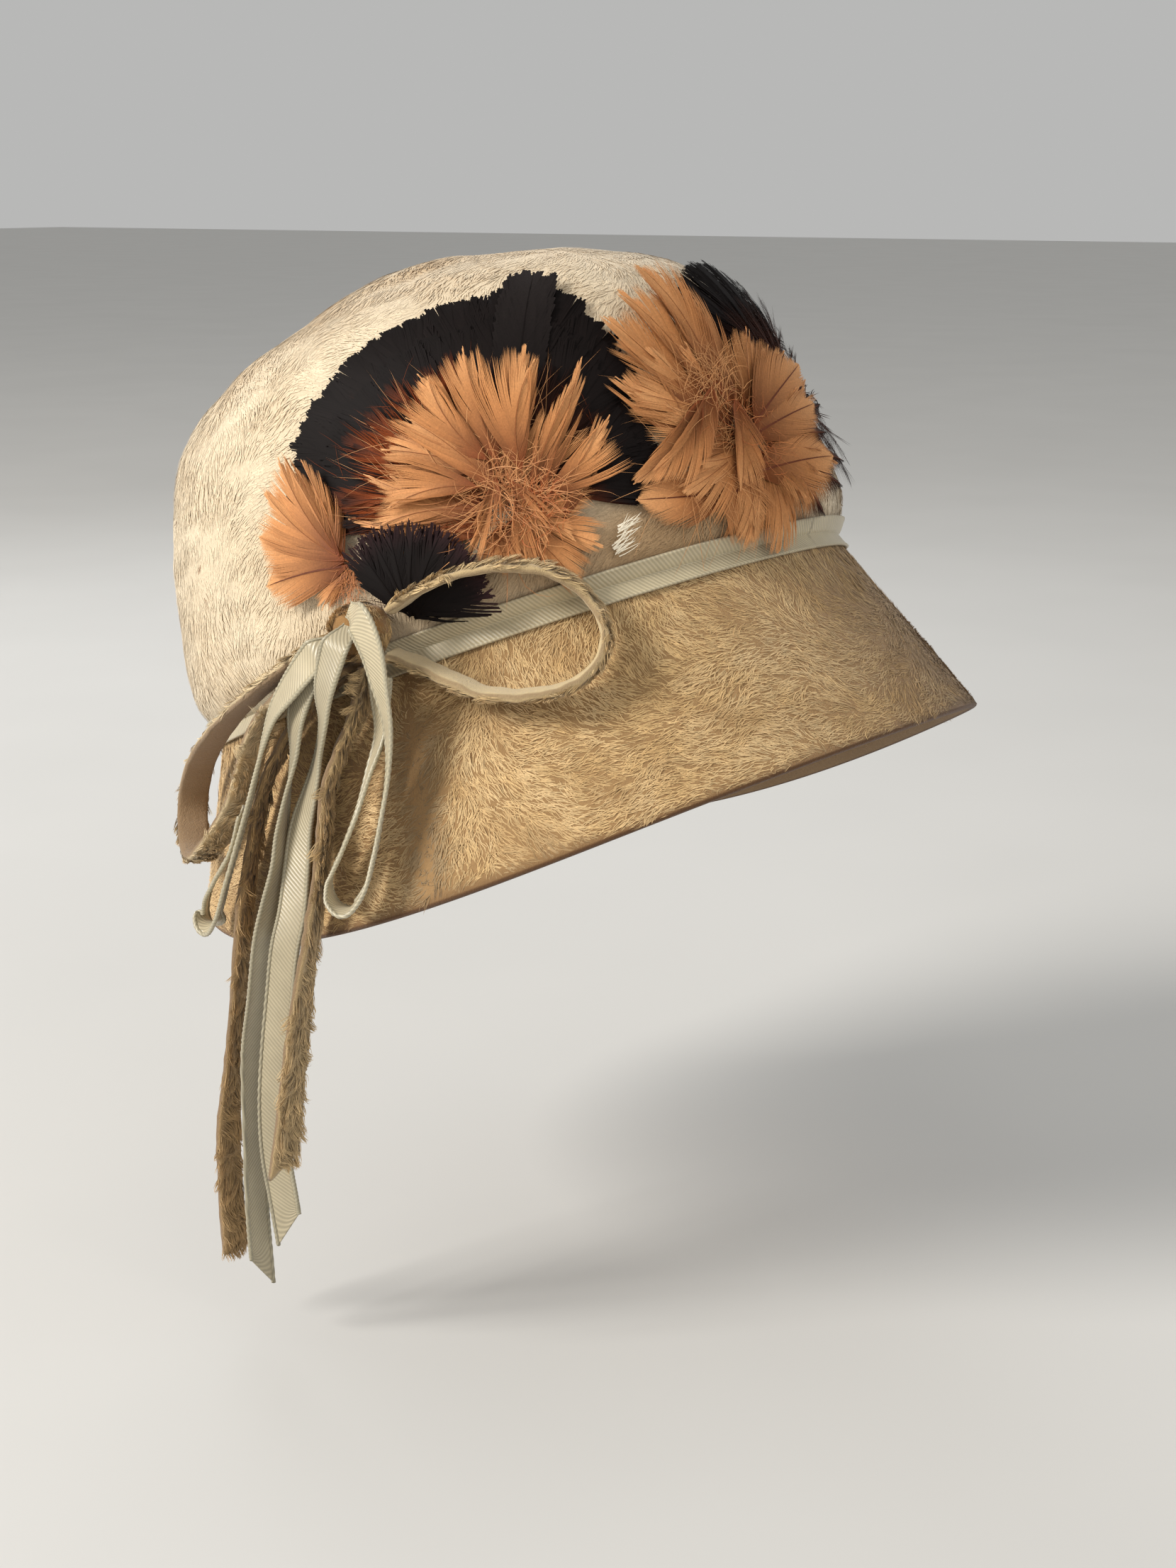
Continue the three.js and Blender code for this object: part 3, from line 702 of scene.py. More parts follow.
# The smooth route through a strip's rows, spaced as the part's source does, and its frame.
def strip_route(rows, per_row):
    table = np.array(rows, float)
    spots = np.stack([-table[:, 0], table[:, 1], table[:, 2]], -1)
    padded = np.vstack([2 * spots[0] - spots[1], spots, 2 * spots[-1] - spots[-2]])
    gaps = np.sqrt(np.linalg.norm(np.diff(padded, axis=0), axis=1))
    part = np.linspace(0, 1, per_row, endpoint=False)[:, None]
    route = []
    for i in range(len(spots) - 1):
        x0, x1, x2, x3 = padded[i:i + 4]
        d0, d1, d2 = gaps[i:i + 3]
        leave = ((x1 - x0) / d0 - (x2 - x0) / (d0 + d1) + (x2 - x1) / d1) * d1
        arrive = ((x2 - x1) / d1 - (x3 - x1) / (d1 + d2) + (x3 - x2) / d2) * d1
        cubic = (2 * x1 - 2 * x2 + leave + arrive) * part ** 3
        square = (-3 * x1 + 3 * x2 - 2 * leave - arrive) * part ** 2
        route.append(cubic + square + leave * part + x1)
    route = np.vstack(route + [spots[-1:]])
    place_on = np.linspace(0, len(spots) - 1, len(route))
    edge = np.radians(np.interp(place_on, np.arange(len(spots)), table[:, 3]))
    kernel = np.hanning(2 * per_row + 1)
    padded_edge = np.concatenate([np.full(per_row, edge[0]), edge, np.full(per_row, edge[-1])])
    edge = np.convolve(padded_edge, kernel / kernel.sum(), mode="valid")
    tangent = unit(np.gradient(route, axis=0))
    across = np.stack([-np.sin(edge), -np.cos(edge), np.zeros(edge.shape)], -1)
    across = unit(across - tangent * (across * tangent).sum(-1, keepdims=True))
    face = np.cross(tangent, across)
    along = np.concatenate([[0], np.cumsum(np.linalg.norm(np.diff(route, axis=0), axis=1))])
    return route, tangent, across, face, along


# The felt strips: name, colours of the fur and of the inner face, the hairs' lengths, and how
# they stand.
FELT_STRIPS = [
    ("felt_loop_front", light(214, 186, 138), light(206, 184, 140), (3.6, 5.6), 0.45),
    ("felt_loop_back", light(220, 197, 156), TAUPE, (3.4, 5.2), 0.4),
    ("felt_tail_back", light(184, 152, 108), TAUPE * 0.8, (3.4, 5.6), 0.45),
    ("felt_tail_front", light(196, 168, 124), TAUPE * 0.8, (3.6, 6.0), 0.45),
]
HAIRS_PER_MM = 32
STRIP_HAIR = 0.3

# Which face of a strip has the fur: the outer one of a loop, and the one of a tail that is
# turned to the wearer's right and front where it hangs below the brim.
TAIL_FRONT = np.array([-0.83, -0.56, 0.0])


def fur_side(name, route, face):
    if "loop" in name:
        outward = route - route.mean(0)
        return np.sign((face * outward).sum(-1).mean())
    hanging = face[len(route) * 2 // 5:]
    return np.sign((hanging * TAIL_FRONT).sum(-1).mean())


def make_strip_felt(name, path, furry, fur_colour, inner_colour):
    width, thickness = FELT_STRIP
    route, tangent, across, face, along = path
    angles = np.linspace(0, 2 * math.pi, 20, endpoint=False)
    squared = np.sign(np.cos(angles)) * np.abs(np.cos(angles)) ** 0.35
    flat = np.sign(np.sin(angles)) * np.abs(np.sin(angles)) ** 0.6
    slant = np.zeros(len(route))
    slant[-1] = CUT_SLANT.get(name, 0)
    slant[-2] = slant[-1] * 0.9
    rows = (
        route[:, None]
        + across[:, None] * (squared * width / 2)[None, :, None]
        + face[:, None] * (flat * thickness / 2 * 0.92)[None, :, None]
        + tangent[:, None] * (squared[None] * slant[:, None])[..., None]
    )
    rows = rows + face[:, None] * (0.18 * ripple(rows, 7, 61))[..., None]
    outer_part = smooth(-0.2, 0.5, flat * furry)
    shades = mix(inner_colour, fur_colour * 0.75, outer_part)
    edge_part = smooth(0.8, 0.97, np.abs(squared)) * (1 - outer_part)
    shades = mix(shades, TAUPE * 0.8, edge_part * 0.8)
    batch = Batch()
    add_grid(batch, rows * MM, np.broadcast_to(shades, rows.shape), caps=True)
    piece = build(name + "_cut", batch, felt, [name])


def make_strip_fur(name, path, furry, fur_colour, fur_length, stand):
    width, thickness = FELT_STRIP
    route, tangent, across, face, along = path
    chance = np.random.default_rng(len(name) * 7)
    count = int(along[-1] * HAIRS_PER_MM)
    at = chance.uniform(0.2, len(route) - 1.2, count)
    low = at.astype(int)
    part = (at - low)[:, None]

    def blend(values):
        return values[low] * (1 - part) + values[low + 1] * part

    spread = chance.uniform(-1, 1, count)
    round_off = smooth(0.75, 1.0, np.abs(spread))
    middle, along_way = blend(route), unit(blend(tangent))
    sideways, outward = unit(blend(across)), unit(blend(face)) * furry
    roots = middle + sideways * (spread * width / 2 * 0.97)[:, None]
    roots = roots + outward * (thickness / 2 * (0.85 - 0.75 * round_off))[:, None]
    turned = np.sign(spread) * round_off
    normals = unit(outward * (1 - 0.75 * round_off)[:, None] + sideways * turned[:, None])
    swirl = 0.8 * ripple(roots, 16, 71)
    aside = np.sin(swirl) + 0.45 * spread
    heading = unit(along_way * np.cos(swirl)[:, None] + sideways * aside[:, None])
    heading = unit(heading - normals * (heading * normals).sum(-1, keepdims=True))
    tone = (1 + 0.12 * ripple(roots, 6, 72))[:, None]
    # Darker roots: painted shade among the hairs.
    tones = (fur_colour * 0.55 * tone, fur_colour * 1.15 * tone)
    look = dict(STRIP_LOOK, seed=count, stand=stand)
    length = chance.uniform(*fur_length, count) * MM
    hairs = Batch()
    add_fur(hairs, roots * MM, normals, heading, length, STRIP_HAIR * MM, tones, look)
    build(name + "_fur", hairs, fur)


def make_felt_strip(name, fur_colour, inner_colour, fur_length, stand):
    path = strip_route(STRIPS[name], 12)
    furry = fur_side(name, path[0], path[3])
    make_strip_felt(name, path, furry, fur_colour, inner_colour)
    make_strip_fur(name, path, furry, fur_colour, fur_length, stand)


# A satin ribbon: a thin crowned web between two twisted cords. Its start is gathered into the
# wrap, by as much as RIBBON_TUCK at its first point. CORD_TURN is the length of one twist.
CORD = 0.62
CORD_TURN = 2.3
RIBBON_STEP = 0.58
RIBBON_TUCK = np.array([4.6, 0, -1.0])
# How dark each ribbon is painted: one satin, with painted shade on the back loop and on the tails, which
# hang in shade.
RIBBON_PAINTED_SHADE = {
    "satin_loop_front": 1.0,
    "satin_loop_back": 0.94,
    "satin_tail_back": 0.78,
    "satin_tail_front": 0.8,
}


def make_ribbon(name):
    width, thickness = RIBBON
    rows = STRIPS[name]
    table = np.array(rows, float)
    rough = np.linalg.norm(np.diff(table[:, :3], axis=0), axis=1).sum()
    per_row = max(6, int(rough / (len(rows) - 1) / RIBBON_STEP))
    route, tangent, across, face, along = strip_route(rows, per_row)
    tuck = (1 - smooth(0, 8, along))[:, None]
    route = route + tuck * RIBBON_TUCK
    across = across * (1 - 0.5 * tuck)
    slant = CUT_SLANT.get(name, 0)
    shear = smooth(along[-1] - 9, along[-1], along) * slant
    web = np.linspace(-1, 1, 9)
    half = width / 2 - CORD
    thin = thickness * 0.3
    top = [
        route + across * (half * w) + face * (thin + 0.1 * (1 - w * w)) + tangent * (w * shear)[:, None]
        for w in web
    ]
    under = [
        route + across * (half * w) - face * (thin - 0.1 * (1 - w * w)) + tangent * (w * shear)[:, None]
        for w in web[::-1]
    ]
    section = np.stack(top + under, 1)
    uv_across = np.concatenate([web, web[::-1]]) * half
    uv = np.stack(np.broadcast_arrays(along[:, None], uv_across[None, :]), -1).reshape(-1, 2) * MM
    batch = Batch()
    soft = (1 + 0.03 * ripple(section, 12, 81))[..., None]
    add_grid(batch, section * MM, SATIN * RIBBON_PAINTED_SHADE[name] * soft, caps=True)
    uv_rows = [uv, uv[:1], uv[-1:]]
    angles = np.linspace(0, 2 * math.pi, 7, endpoint=False)
    for end in (-1, 1):
        twist = 2 * math.pi * along / CORD_TURN * end
        swell = 1 + 0.16 * np.cos(2 * (angles[None] - twist[:, None]))
        middle = route + across * (half * end) + tangent * (end * shear)[:, None]
        ring = (
            middle[:, None]
            + across[:, None] * (np.cos(angles) * swell * CORD)[..., None]
            + face[:, None] * (np.sin(angles) * swell * CORD)[..., None]
        )
        # Lighter and darker stripes along each cord's twist: painted highlight on the raised strands and
        # painted shade between them.
        shade = 0.84 + 0.24 * np.cos(2 * (angles[None] - twist[:, None]))
        shade = SATIN_CORD * (0.1 + 0.9 * RIBBON_PAINTED_SHADE[name]) * shade[..., None]
        add_grid(batch, ring * MM, shade, caps=True)
        uv_rows.append(np.zeros((ring.shape[0] * 7 + 2, 2)))
    piece = build(name + "_satin", batch, satin, [name], uv=np.vstack(uv_rows))


# The felt wrap that holds the bow: a short rounded roll with fur on it.
KNOT_MIDDLE = np.array([-KNOT["out"], KNOT["back"], KNOT["up"]])
KNOT_HAIRS = 2600


def knot_radius(out):
    return KNOT["radius"] * (1 - 0.32 * np.abs(out) ** 3)


def knot_spots(out, angle, radius):
    outward = np.broadcast_to(out * KNOT["half_out"], angle.shape)
    return KNOT_MIDDLE + np.stack([outward, np.cos(angle) * radius, np.sin(angle) * radius], -1)


def make_knot():
    around = np.linspace(0, 2 * math.pi, 48, endpoint=False)
    outs = np.linspace(-1, 1, 17)
    rows = []
    for out in outs:
        fold = 1 + 0.05 * np.sin(3 * around + 2.5 * out) + 0.03 * np.sin(7 * around - 4 * out)
        rows.append(knot_spots(out, around, knot_radius(out) * fold * 0.96))
    rows = np.array(rows)
    batch = Batch()
    add_grid(batch, rows * MM, np.broadcast_to(CAMEL_DEEP, rows.shape), caps=True)
    build("bow_wrap", batch, felt, ["bow_knot"])
    chance = np.random.default_rng(91)
    count = KNOT_HAIRS
    angle = chance.uniform(0, 2 * math.pi, count)
    out = chance.uniform(-0.95, 0.95, count)
    normals = np.stack([0.25 * out, np.cos(angle), np.sin(angle)], -1)
    roots = knot_spots(out, angle, knot_radius(out) * 0.94)
    heading = unit(np.stack([np.full(count, -0.8), -np.sin(angle), np.cos(angle)], -1))
    normals = unit(normals)
    hairs = Batch()
    colour = np.broadcast_to(CAMEL, (count, 3))
    # Darker roots: painted shade among the hairs.
    tones = (colour * 0.6, colour * 1.1)
    length = chance.uniform(2.5, 4.5, count) * MM
    look = dict(WRAP_LOOK, seed=92)
    add_fur(hairs, roots * MM, normals, heading, length, STRIP_HAIR * MM, tones, look)
    build("bow_wrap_fur", hairs, fur)


# Feathers. A rosette's map: forward and upward from its middle on the crown, and lift off the felt.
class Rosette:
    def __init__(self, turn, level, seed):
        self.turn = math.radians(turn)
        self.level = level
        self.across = math.hypot(HEAD_WIDTH * math.cos(self.turn), HEAD_LENGTH * math.sin(self.turn))
        self.chance = np.random.default_rng(seed)
        self.batch = Batch()

    def world(self, spots):
        forward, upward, lift = spots[..., 0], spots[..., 1], spots[..., 2]
        level = np.maximum(self.level + upward, 0.8)
        inside = np.clip(level, 0, 0.98 * CROWN_LENGTH)
        radius = self.across * np.interp(inside, PROFILE_LEVEL, PROFILE_RADIUS) / MEAN_RADIUS
        return to_world(on_crown(self.turn - forward / radius, level, lift))

    # Adds strands given in the map: paths, half widths and colours.
    def strands(self, paths, half, colours, pointed=True):
        run = np.gradient(paths, axis=1)
        side = np.stack([run[..., 1], -run[..., 0], np.zeros(run.shape[:2])], -1)
        spots = self.world(paths)
        off = self.world(paths + unit(side) * 0.2)
        add_strands(self.batch, spots, unit(off - spots), half * MM, colours, pointed)

    # A random value for each barb: one part shared by its bunch, and one of its own.
    def varied(self, shared, own, bunch):
        together = self.chance.normal(0, shared, bunch.max() + 1)[bunch]
        return together + self.chance.normal(0, own, len(bunch))

    # One feather: a quill with barbs on both sides.
    def feather(self, start, heading, length, width, kind, lift, bend, curl, cup):
        part = np.linspace(0, 1, 25)
        angle = math.radians(heading) + math.radians(bend) * (part - 0.15)
        step = length / 24
        x = start[0] + np.concatenate([[0], np.cumsum(np.sin(angle[:-1]) * step)])
        y = start[1] + np.concatenate([[0], np.cumsum(np.cos(angle[:-1]) * step)])
        z = lift[0] + lift[1] * np.sqrt(part) + curl * part ** 3
        quill = np.stack([x, y, z, angle], -1)
        sides = [self.barbs(sign, quill, length, width, kind, cup) for sign in (-1, 1)]
        paths, halves, colours = [np.concatenate(both) for both in zip(*sides)]
        self.strands(paths, halves, colours, not kind["cut"])
        line = np.stack([x, y, z + 0.12], -1)[None, ::3]
        thick = np.linspace(kind["quill"], kind["quill"] * 0.25, line.shape[1])[None]
        self.strands(line, thick, np.broadcast_to(kind["quill_colour"], line.shape))

    # The barbs on one side of a quill, which is given by its points and angles.
    def barbs(self, sign, quill, length, width, kind, cup):
        chance = self.chance
        quill_part = np.linspace(0, 1, len(quill))
        count = kind["barbs"]
        t = np.linspace(0, 1, kind["levels"])[None, :]
        at = np.linspace(kind["first"], kind["last"], count)
        at = np.clip(at + chance.normal(0, 0.25 / count, count), 0.01, 1)
        bunch = (np.arange(count) + chance.integers(0, 4)) // kind["bunch"]
        groups = bunch.max() + 1
        swing = self.varied(kind["spread"], kind["stray"], bunch)
        open_angle = np.radians(np.interp(at, [0, 1], kind["open"])) * (1 + swing)
        x, y, z, way = [np.interp(at, quill_part, column) for column in quill.T]
        reach = self.reach_of(kind, at, open_angle, width, length)
        notch = chance.uniform(-kind["notch"], kind["notch"] * 0.4, groups)[bunch]
        reach = reach * (1 + self.varied(kind["uneven"], 0.03, bunch))
        reach = np.maximum(reach + notch, 0.7)
        out = way + sign * open_angle
        run = np.stack([np.sin(out), np.cos(out)], -1)
        ahead = np.stack([np.sin(way), np.cos(way)], -1)
        sweep = kind["sweep"]
        bowed = run[:, None] * (t * (1 - sweep * t * 0.5))[..., None]
        swept = ahead[:, None] * (sweep * t * t)[..., None]
        flat = np.stack([x, y], -1)[:, None] + reach[:, None, None] * (bowed + swept)
        ends = flat[:, -1]
        sums = np.zeros((groups, 2))
        np.add.at(sums, bunch, ends)
        mean = sums / np.bincount(bunch, minlength=groups)[:, None]
        flat = flat + (mean[bunch] - ends)[:, None] * (kind["gather"] * t * t)[..., None]
        fly = self.varied(kind["fly"], kind["fly"] * 0.3, bunch)
        height = z[:, None] + reach[:, None] * t * t * (cup + fly[:, None])
        path = np.concatenate([flat, np.maximum(height, 0.45)[..., None]], -1)
        gap = length * (kind["last"] - kind["first"]) / count
        half = 0.5 * gap * np.sin(np.maximum(open_angle, 0.3))[:, None] * kind["cover"]
        half = np.maximum(half, kind["thin"]) * (1 - kind["taper"] * t)
        along = at[:, None] + reach[:, None] * t * np.cos(open_angle)[:, None] / length
        streak = 1 + chance.normal(0, 0.035, count) + chance.normal(0, 0.05, groups)[bunch]
        return path, half, self.shades(kind, along, t) * streak[:, None, None]

    # How long each barb is, so that its end lies on the feather's outline.
    def reach_of(self, kind, at, open_angle, width, length):
        sweep = kind["sweep"]
        low = np.zeros(at.shape)
        high = np.full(at.shape, 1.3 * length)
        for _ in range(18):
            middle = (low + high) / 2
            aside = middle * np.sin(open_angle) * (1 - sweep / 2)
            forward = at + middle * (np.cos(open_angle) * (1 - sweep / 2) + sweep) / length
            inside = aside < width / 2 * np.interp(forward, *kind["outline"])
            low = np.where(inside, middle, low)
            high = np.where(inside, high, middle)
        return low

    def shades(self, kind, along, t):
        stops, ramp = kind["ramp"]
        along = np.clip(along, 0, 1)
        shade = np.stack([np.interp(along, stops, ramp[:, c]) for c in range(3)], -1)
        return shade * (1 + kind["edge"] * t[..., None])

    # Fine down and stray barbs that spring from a spot.
    def wisps(self, count, spot, spread, headings, length, lift, colours, curl=0.6, width=0.1):
        chance = self.chance
        t = np.linspace(0, 1, 6)[None, :]
        start = np.array(spot) + chance.normal(0, 1, (count, 2)) * np.array(spread)
        way = np.radians(chance.uniform(*headings, count))[:, None]
        turn = chance.normal(0, curl, count)[:, None]
        reach = chance.uniform(*length, count)[:, None]
        angle = way + turn * t
        step = reach / 5
        x = start[:, :1] + np.cumsum(np.sin(angle) * step, 1)
        y = start[:, 1:] + np.cumsum(np.cos(angle) * step, 1)
        low, high = lift
        top = chance.uniform(0.3, 1, count)[:, None]
        z = low + (high - low) * top * (t ** 0.8)
        path = np.stack([x, y, z], -1)
        half = width * (1 - 0.7 * t) * chance.uniform(0.7, 1.3, count)[:, None]
        pick = chance.uniform(0, 1, count)[:, None]
        shade = mix(colours[0], colours[1], np.clip(0.25 + 0.5 * pick + 0.3 * t, 0, 1))
        self.strands(path, half, shade)


# Outlines of feathers: half widths along the length, both as parts of the whole.
OVAL = ([0, 0.1, 0.3, 0.55, 0.8, 0.93, 1.0], [0.3, 0.65, 0.95, 1.0, 0.8, 0.5, 0.0])
LANCE = ([0, 0.12, 0.35, 0.6, 0.85, 1.0], [0.35, 0.8, 1.0, 0.8, 0.4, 0.0])
SPREAD = ([0, 0.15, 0.4, 0.7, 0.92, 0.985, 1.0], [0.2, 0.4, 0.74, 0.98, 1.0, 0.8, 0.0])
SQUARE = ([0, 0.2, 0.6, 1.0, 1.002], [0.4, 0.8, 1.0, 1.0, 0.0])

RUST = light(122, 56, 20)
RUST_DARK = light(66, 30, 15)
BLACK_BROWN = light(15, 9, 8)
CHARCOAL_AND_SHEEN = light(34, 29, 28)
DUSK_SHEEN = light(64, 38, 40)
TAN_BASE = light(146, 68, 26)
TAN = light(182, 122, 72)
TAN_TIP = light(206, 150, 98)
TAN_SHADE = light(132, 76, 38)
QUILL_BROWN = light(96, 44, 18)
EMBER = light(170, 66, 20)
EMBER_LIGHT = light(180, 74, 24)
THREAD = light(232, 222, 200)

# Kinds of feathers. Barbs on a side, points along one, where they start and end on the quill, how
# many share a bunch, how bunches and barbs stray, and how they open; the outline, its cuts and
# notches; how barbs sweep, gather, fly up, cover and thin out; the quill; and the tones along it.
DARK_CUT = {
    "barbs": 64, "levels": 4, "first": 0.05, "last": 0.98, "bunch": 9, "spread": 0.035, "stray": 0.012,
    "open": (34, 20), "outline": SQUARE, "cut": True, "notch": 1.5, "uneven": 0.0, "sweep": 0.3,
    "gather": 0.1, "fly": 0.02, "cover": 2.4, "thin": 0.12, "taper": 0.3, "edge": 0.0, "quill": 0.3,
    "quill_colour": BLACK_BROWN, "short": 0.96,
    "ramp": ([0, 0.4, 0.62, 1], np.array([RUST, RUST_DARK, BLACK_BROWN * 1.4, BLACK_BROWN])),
}
DARK_SMOOTH = dict(
    DARK_CUT, spread=0.02, notch=1.6, gather=0.02, fly=0.004, cover=2.8,
    # Painted lighter grey toward the tips: partly the feather's own grey, partly painted sheen.
    ramp=([0, 0.3, 1], np.array([BLACK_BROWN, BLACK_BROWN, CHARCOAL_AND_SHEEN])),
)
DARK_TUFT = {
    "barbs": 46, "levels": 5, "first": 0.05, "last": 0.96, "bunch": 4, "spread": 0.14, "stray": 0.06,
    "open": (36, 18), "outline": OVAL, "cut": False, "notch": 0.0, "uneven": 0.16, "sweep": 0.5,
    "gather": 0.35, "fly": 0.12, "cover": 1.5, "thin": 0.1, "taper": 0.7, "edge": 0.0, "quill": 0.25,
    "quill_colour": RUST_DARK, "short": 0.85,
    "ramp": ([0, 0.7, 0.9, 1], np.array([RUST, RUST, RUST_DARK, BLACK_BROWN])),
}
DARK_DEEP = dict(DARK_TUFT, ramp=([0, 0.5, 1], np.array([RUST_DARK, RUST_DARK * 0.6, BLACK_BROWN])))
PETAL = {
    "barbs": 74, "levels": 5, "first": 0.04, "last": 0.98, "bunch": 12, "spread": 0.07, "stray": 0.012,
    "open": (34, 10), "outline": SPREAD, "cut": False, "notch": 1.8, "uneven": 0.03, "sweep": 0.6,
    "gather": 0.22, "fly": 0.035, "cover": 3.0, "thin": 0.11, "taper": 0.7, "edge": 0.1, "quill": 0.16,
    "quill_colour": TAN_SHADE, "short": 0.68,
    # Barbs painted darker toward the base: partly the feather's own orange base, partly painted shade
    # between the petals.
    "ramp": ([0, 0.22, 0.6, 1], np.array([TAN_BASE * 0.75, TAN_SHADE * 0.85, TAN, TAN_TIP * 1.06])),
}
FLAME = dict(
    PETAL, barbs=54, bunch=7, spread=0.12, stray=0.03, open=(24, 9), outline=LANCE, notch=0.0,
    uneven=0.14, gather=0.5, fly=0.08, cover=1.9,
)
VANE = dict(
    PETAL, outline=OVAL, notch=0.0, barbs=84, bunch=14, spread=0.02, stray=0.006, open=(38, 20),
    uneven=0.025, gather=0.05, fly=0.01, cover=2.8, sweep=0.4, edge=0.03, quill=0.34,
    quill_colour=QUILL_BROWN,
)
SPOTTED_TONES = np.array([TAN_BASE, TAN, TAN, RUST_DARK, BLACK_BROWN])
SPOTTED = dict(VANE, ramp=([0, 0.3, 0.72, 0.84, 1], SPOTTED_TONES))


# A fan of feathers of one kind, spread evenly between two headings from the rosette's middle.
def fan(
    rosette, kind, headings, count, start, reach, width, lift, bend=8.0, curl=0.0, wander=4.0, cup=0.0
):
    chance = rosette.chance
    for heading in np.linspace(headings[0], headings[1], count):
        end = np.interp(heading, *reach) if isinstance(reach, tuple) else reach
        heading = heading + chance.normal(0, wander)
        begin = start * chance.uniform(0.85, 1.15)
        spot = (begin * math.sin(math.radians(heading)), begin * math.cos(math.radians(heading)))
        length = (end - begin) * chance.uniform(kind["short"], 1.02)
        rosette.feather(
            spot, heading, length, width * chance.uniform(0.9, 1.1), kind,
            (lift[0] * chance.uniform(0.9, 1.2), lift[1] * chance.uniform(0.8, 1.2)),
            chance.normal(0, bend), curl * chance.uniform(0.5, 1.3), cup * chance.uniform(0.4, 1.2),
        )


# Single feathers. Columns: start forward and up, heading, length, width, lift, rise, bend, curl, cup.
def single_feathers(rosette, kind, table):
    for forward, upward, heading, length, width, lift, rise, bend, curl, cup in table:
        rosette.feather((forward, upward), heading, length, width, kind, (lift, rise), bend, curl, cup)


# How far the dark ring reaches from the side rosette's middle at each heading.
RING_REACH = ([-66, -46, 4, 20, 34, 46, 60, 74, 90], [61, 62, 64, 67, 67, 60, 54, 50, 42])


def scaled(reach, part):
    return reach[0], [value * part for value in reach[1]]


def make_side_dark():
    rosette = Rosette(57, 27, 101)
    fan(rosette, DARK_CUT, (-66, 90), 24, 22, RING_REACH, 15, (0.8, 1.3), 5, wander=2)
    fan(rosette, DARK_CUT, (-64, 88), 22, 18, scaled(RING_REACH, 0.84), 14, (1.3, 1.5), 6, wander=2)
    single_feathers(rosette, DARK_SMOOTH, [(10, 20, 22, 49, 15, 2.2, 1.5, 6, 0, 0.02)])
    fan(rosette, DARK_DEEP, (-68, 86), 22, 12, scaled(RING_REACH, 0.7), 14, (1.7, 1.8), 10, wander=4)
    fan(rosette, DARK_TUFT, (-70, -6), 10, 12, scaled(RING_REACH, 0.78), 12, (2.6, 1.6), 14, wander=6)
    rosette.wisps(700, (-6, 8), (10, 8), (-90, 60), (8, 20), (2.0, 5.0), (RUST_DARK, RUST), 0.8, 0.08)
    build("side_dark_feathers", rosette.batch, dark_feather, ["feathers_side_dark"])


def make_side_tan():
    rosette = Rosette(57, 27, 102)
    fan(rosette, PETAL, (-94, -58), 5, 4, 33, 15, (1.0, 2.2), 34, 0.5, 8, cup=0.14)
    fan(rosette, PETAL, (70, 128), 6, 4, 27, 14, (1.0, 3.0), 24, 0.5, 10, cup=0.08)
    fan(rosette, PETAL, (132, 212), 7, 2, 17, 12, (1.2, 1.6), 24, 0.0, 10, cup=0.04)
    fan(rosette, PETAL, (-60, 60), 7, 5, 31, 16, (1.6, 4.0), 34, 1.5, 14, cup=0.22)
    single_feathers(rosette, PETAL, [
        (1, 12, -54, 27, 14, 3.5, 3.0, -16, 1.5, 0.12),
        (2, 12, -14, 31, 12, 3.0, 4.0, -14, 2.0, 0.15),
        (4, 13, -2, 30, 11, 3.5, 4.0, 10, 2.5, 0.15),
        (8, 11, 20, 30, 10, 3.5, 4.5, 8, 3.0, 0.15),
        (2, 6, -26, 30, 12, 3.5, 3.5, -18, 2.0, 0.15),
    ])
    single_feathers(rosette, PETAL, [
        (-2, 8, -70, 24, 17, 5.0, 2.0, -44, 1.0, 0.2),
        (2, 14, -30, 27, 17, 5.0, 3.0, 40, 1.5, 0.2),
        (9, 8, 8, 30, 16, 5.0, 3.5, 46, 2.0, 0.2),
        (13, 1, 70, 22, 16, 4.0, 3.0, -44, 1.0, 0.2),
    ])
    single_feathers(rosette, FLAME, [
        (9, 2, 34, 32, 9, 3.0, 5.0, 14, 3.0, 0.1),
        (11, 0, 36, 38, 9, 3.0, 5.0, -8, 3.0, 0.1),
        (15, -7, 38, 30, 10, 2.0, 4.5, 10, 2.0, 0.1),
        (-2, 2, -62, 34, 10, 2.0, 3.0, 24, 1.0, 0.1),
        (-4, -3, -72, 38, 10, 1.5, 2.0, 20, 0.5, 0.1),
        (3, 10, -150, 24, 9, 6.0, -2.0, 24, 0.0, 0.1),
        (7, 5, 190, 22, 9, 6.0, -2.5, -20, 0.0, 0.1),
        (5, 8, 160, 20, 8, 6.5, -2.0, 24, 0.0, 0.1),
    ])
    rosette.wisps(240, (4, 4), (5, 5), (-180, 180), (6, 17), (3.0, 9.0), (TAN_BASE, TAN_TIP), 1.3, 0.13)
    rosette.wisps(160, (10, -2), (2.5, 3), (-180, 180), (3, 8), (4.0, 8.0), (EMBER, TAN), 1.4, 0.1)
    rosette.wisps(120, (0, 6), (8, 6), (-80, 80), (16, 34), (2.5, 8.0), (TAN, TAN_TIP), 0.5, 0.08)
    for spot in ((28, -13.5), (25.5, -17.5)):
        rosette.wisps(16, spot, (0.7, 0.9), (55, 85), (5, 7), (1.6, 3.4), (THREAD, THREAD), 0.35, 0.16)
    build("side_tan_feathers", rosette.batch, tan_feather, ["feathers_side_tan"])


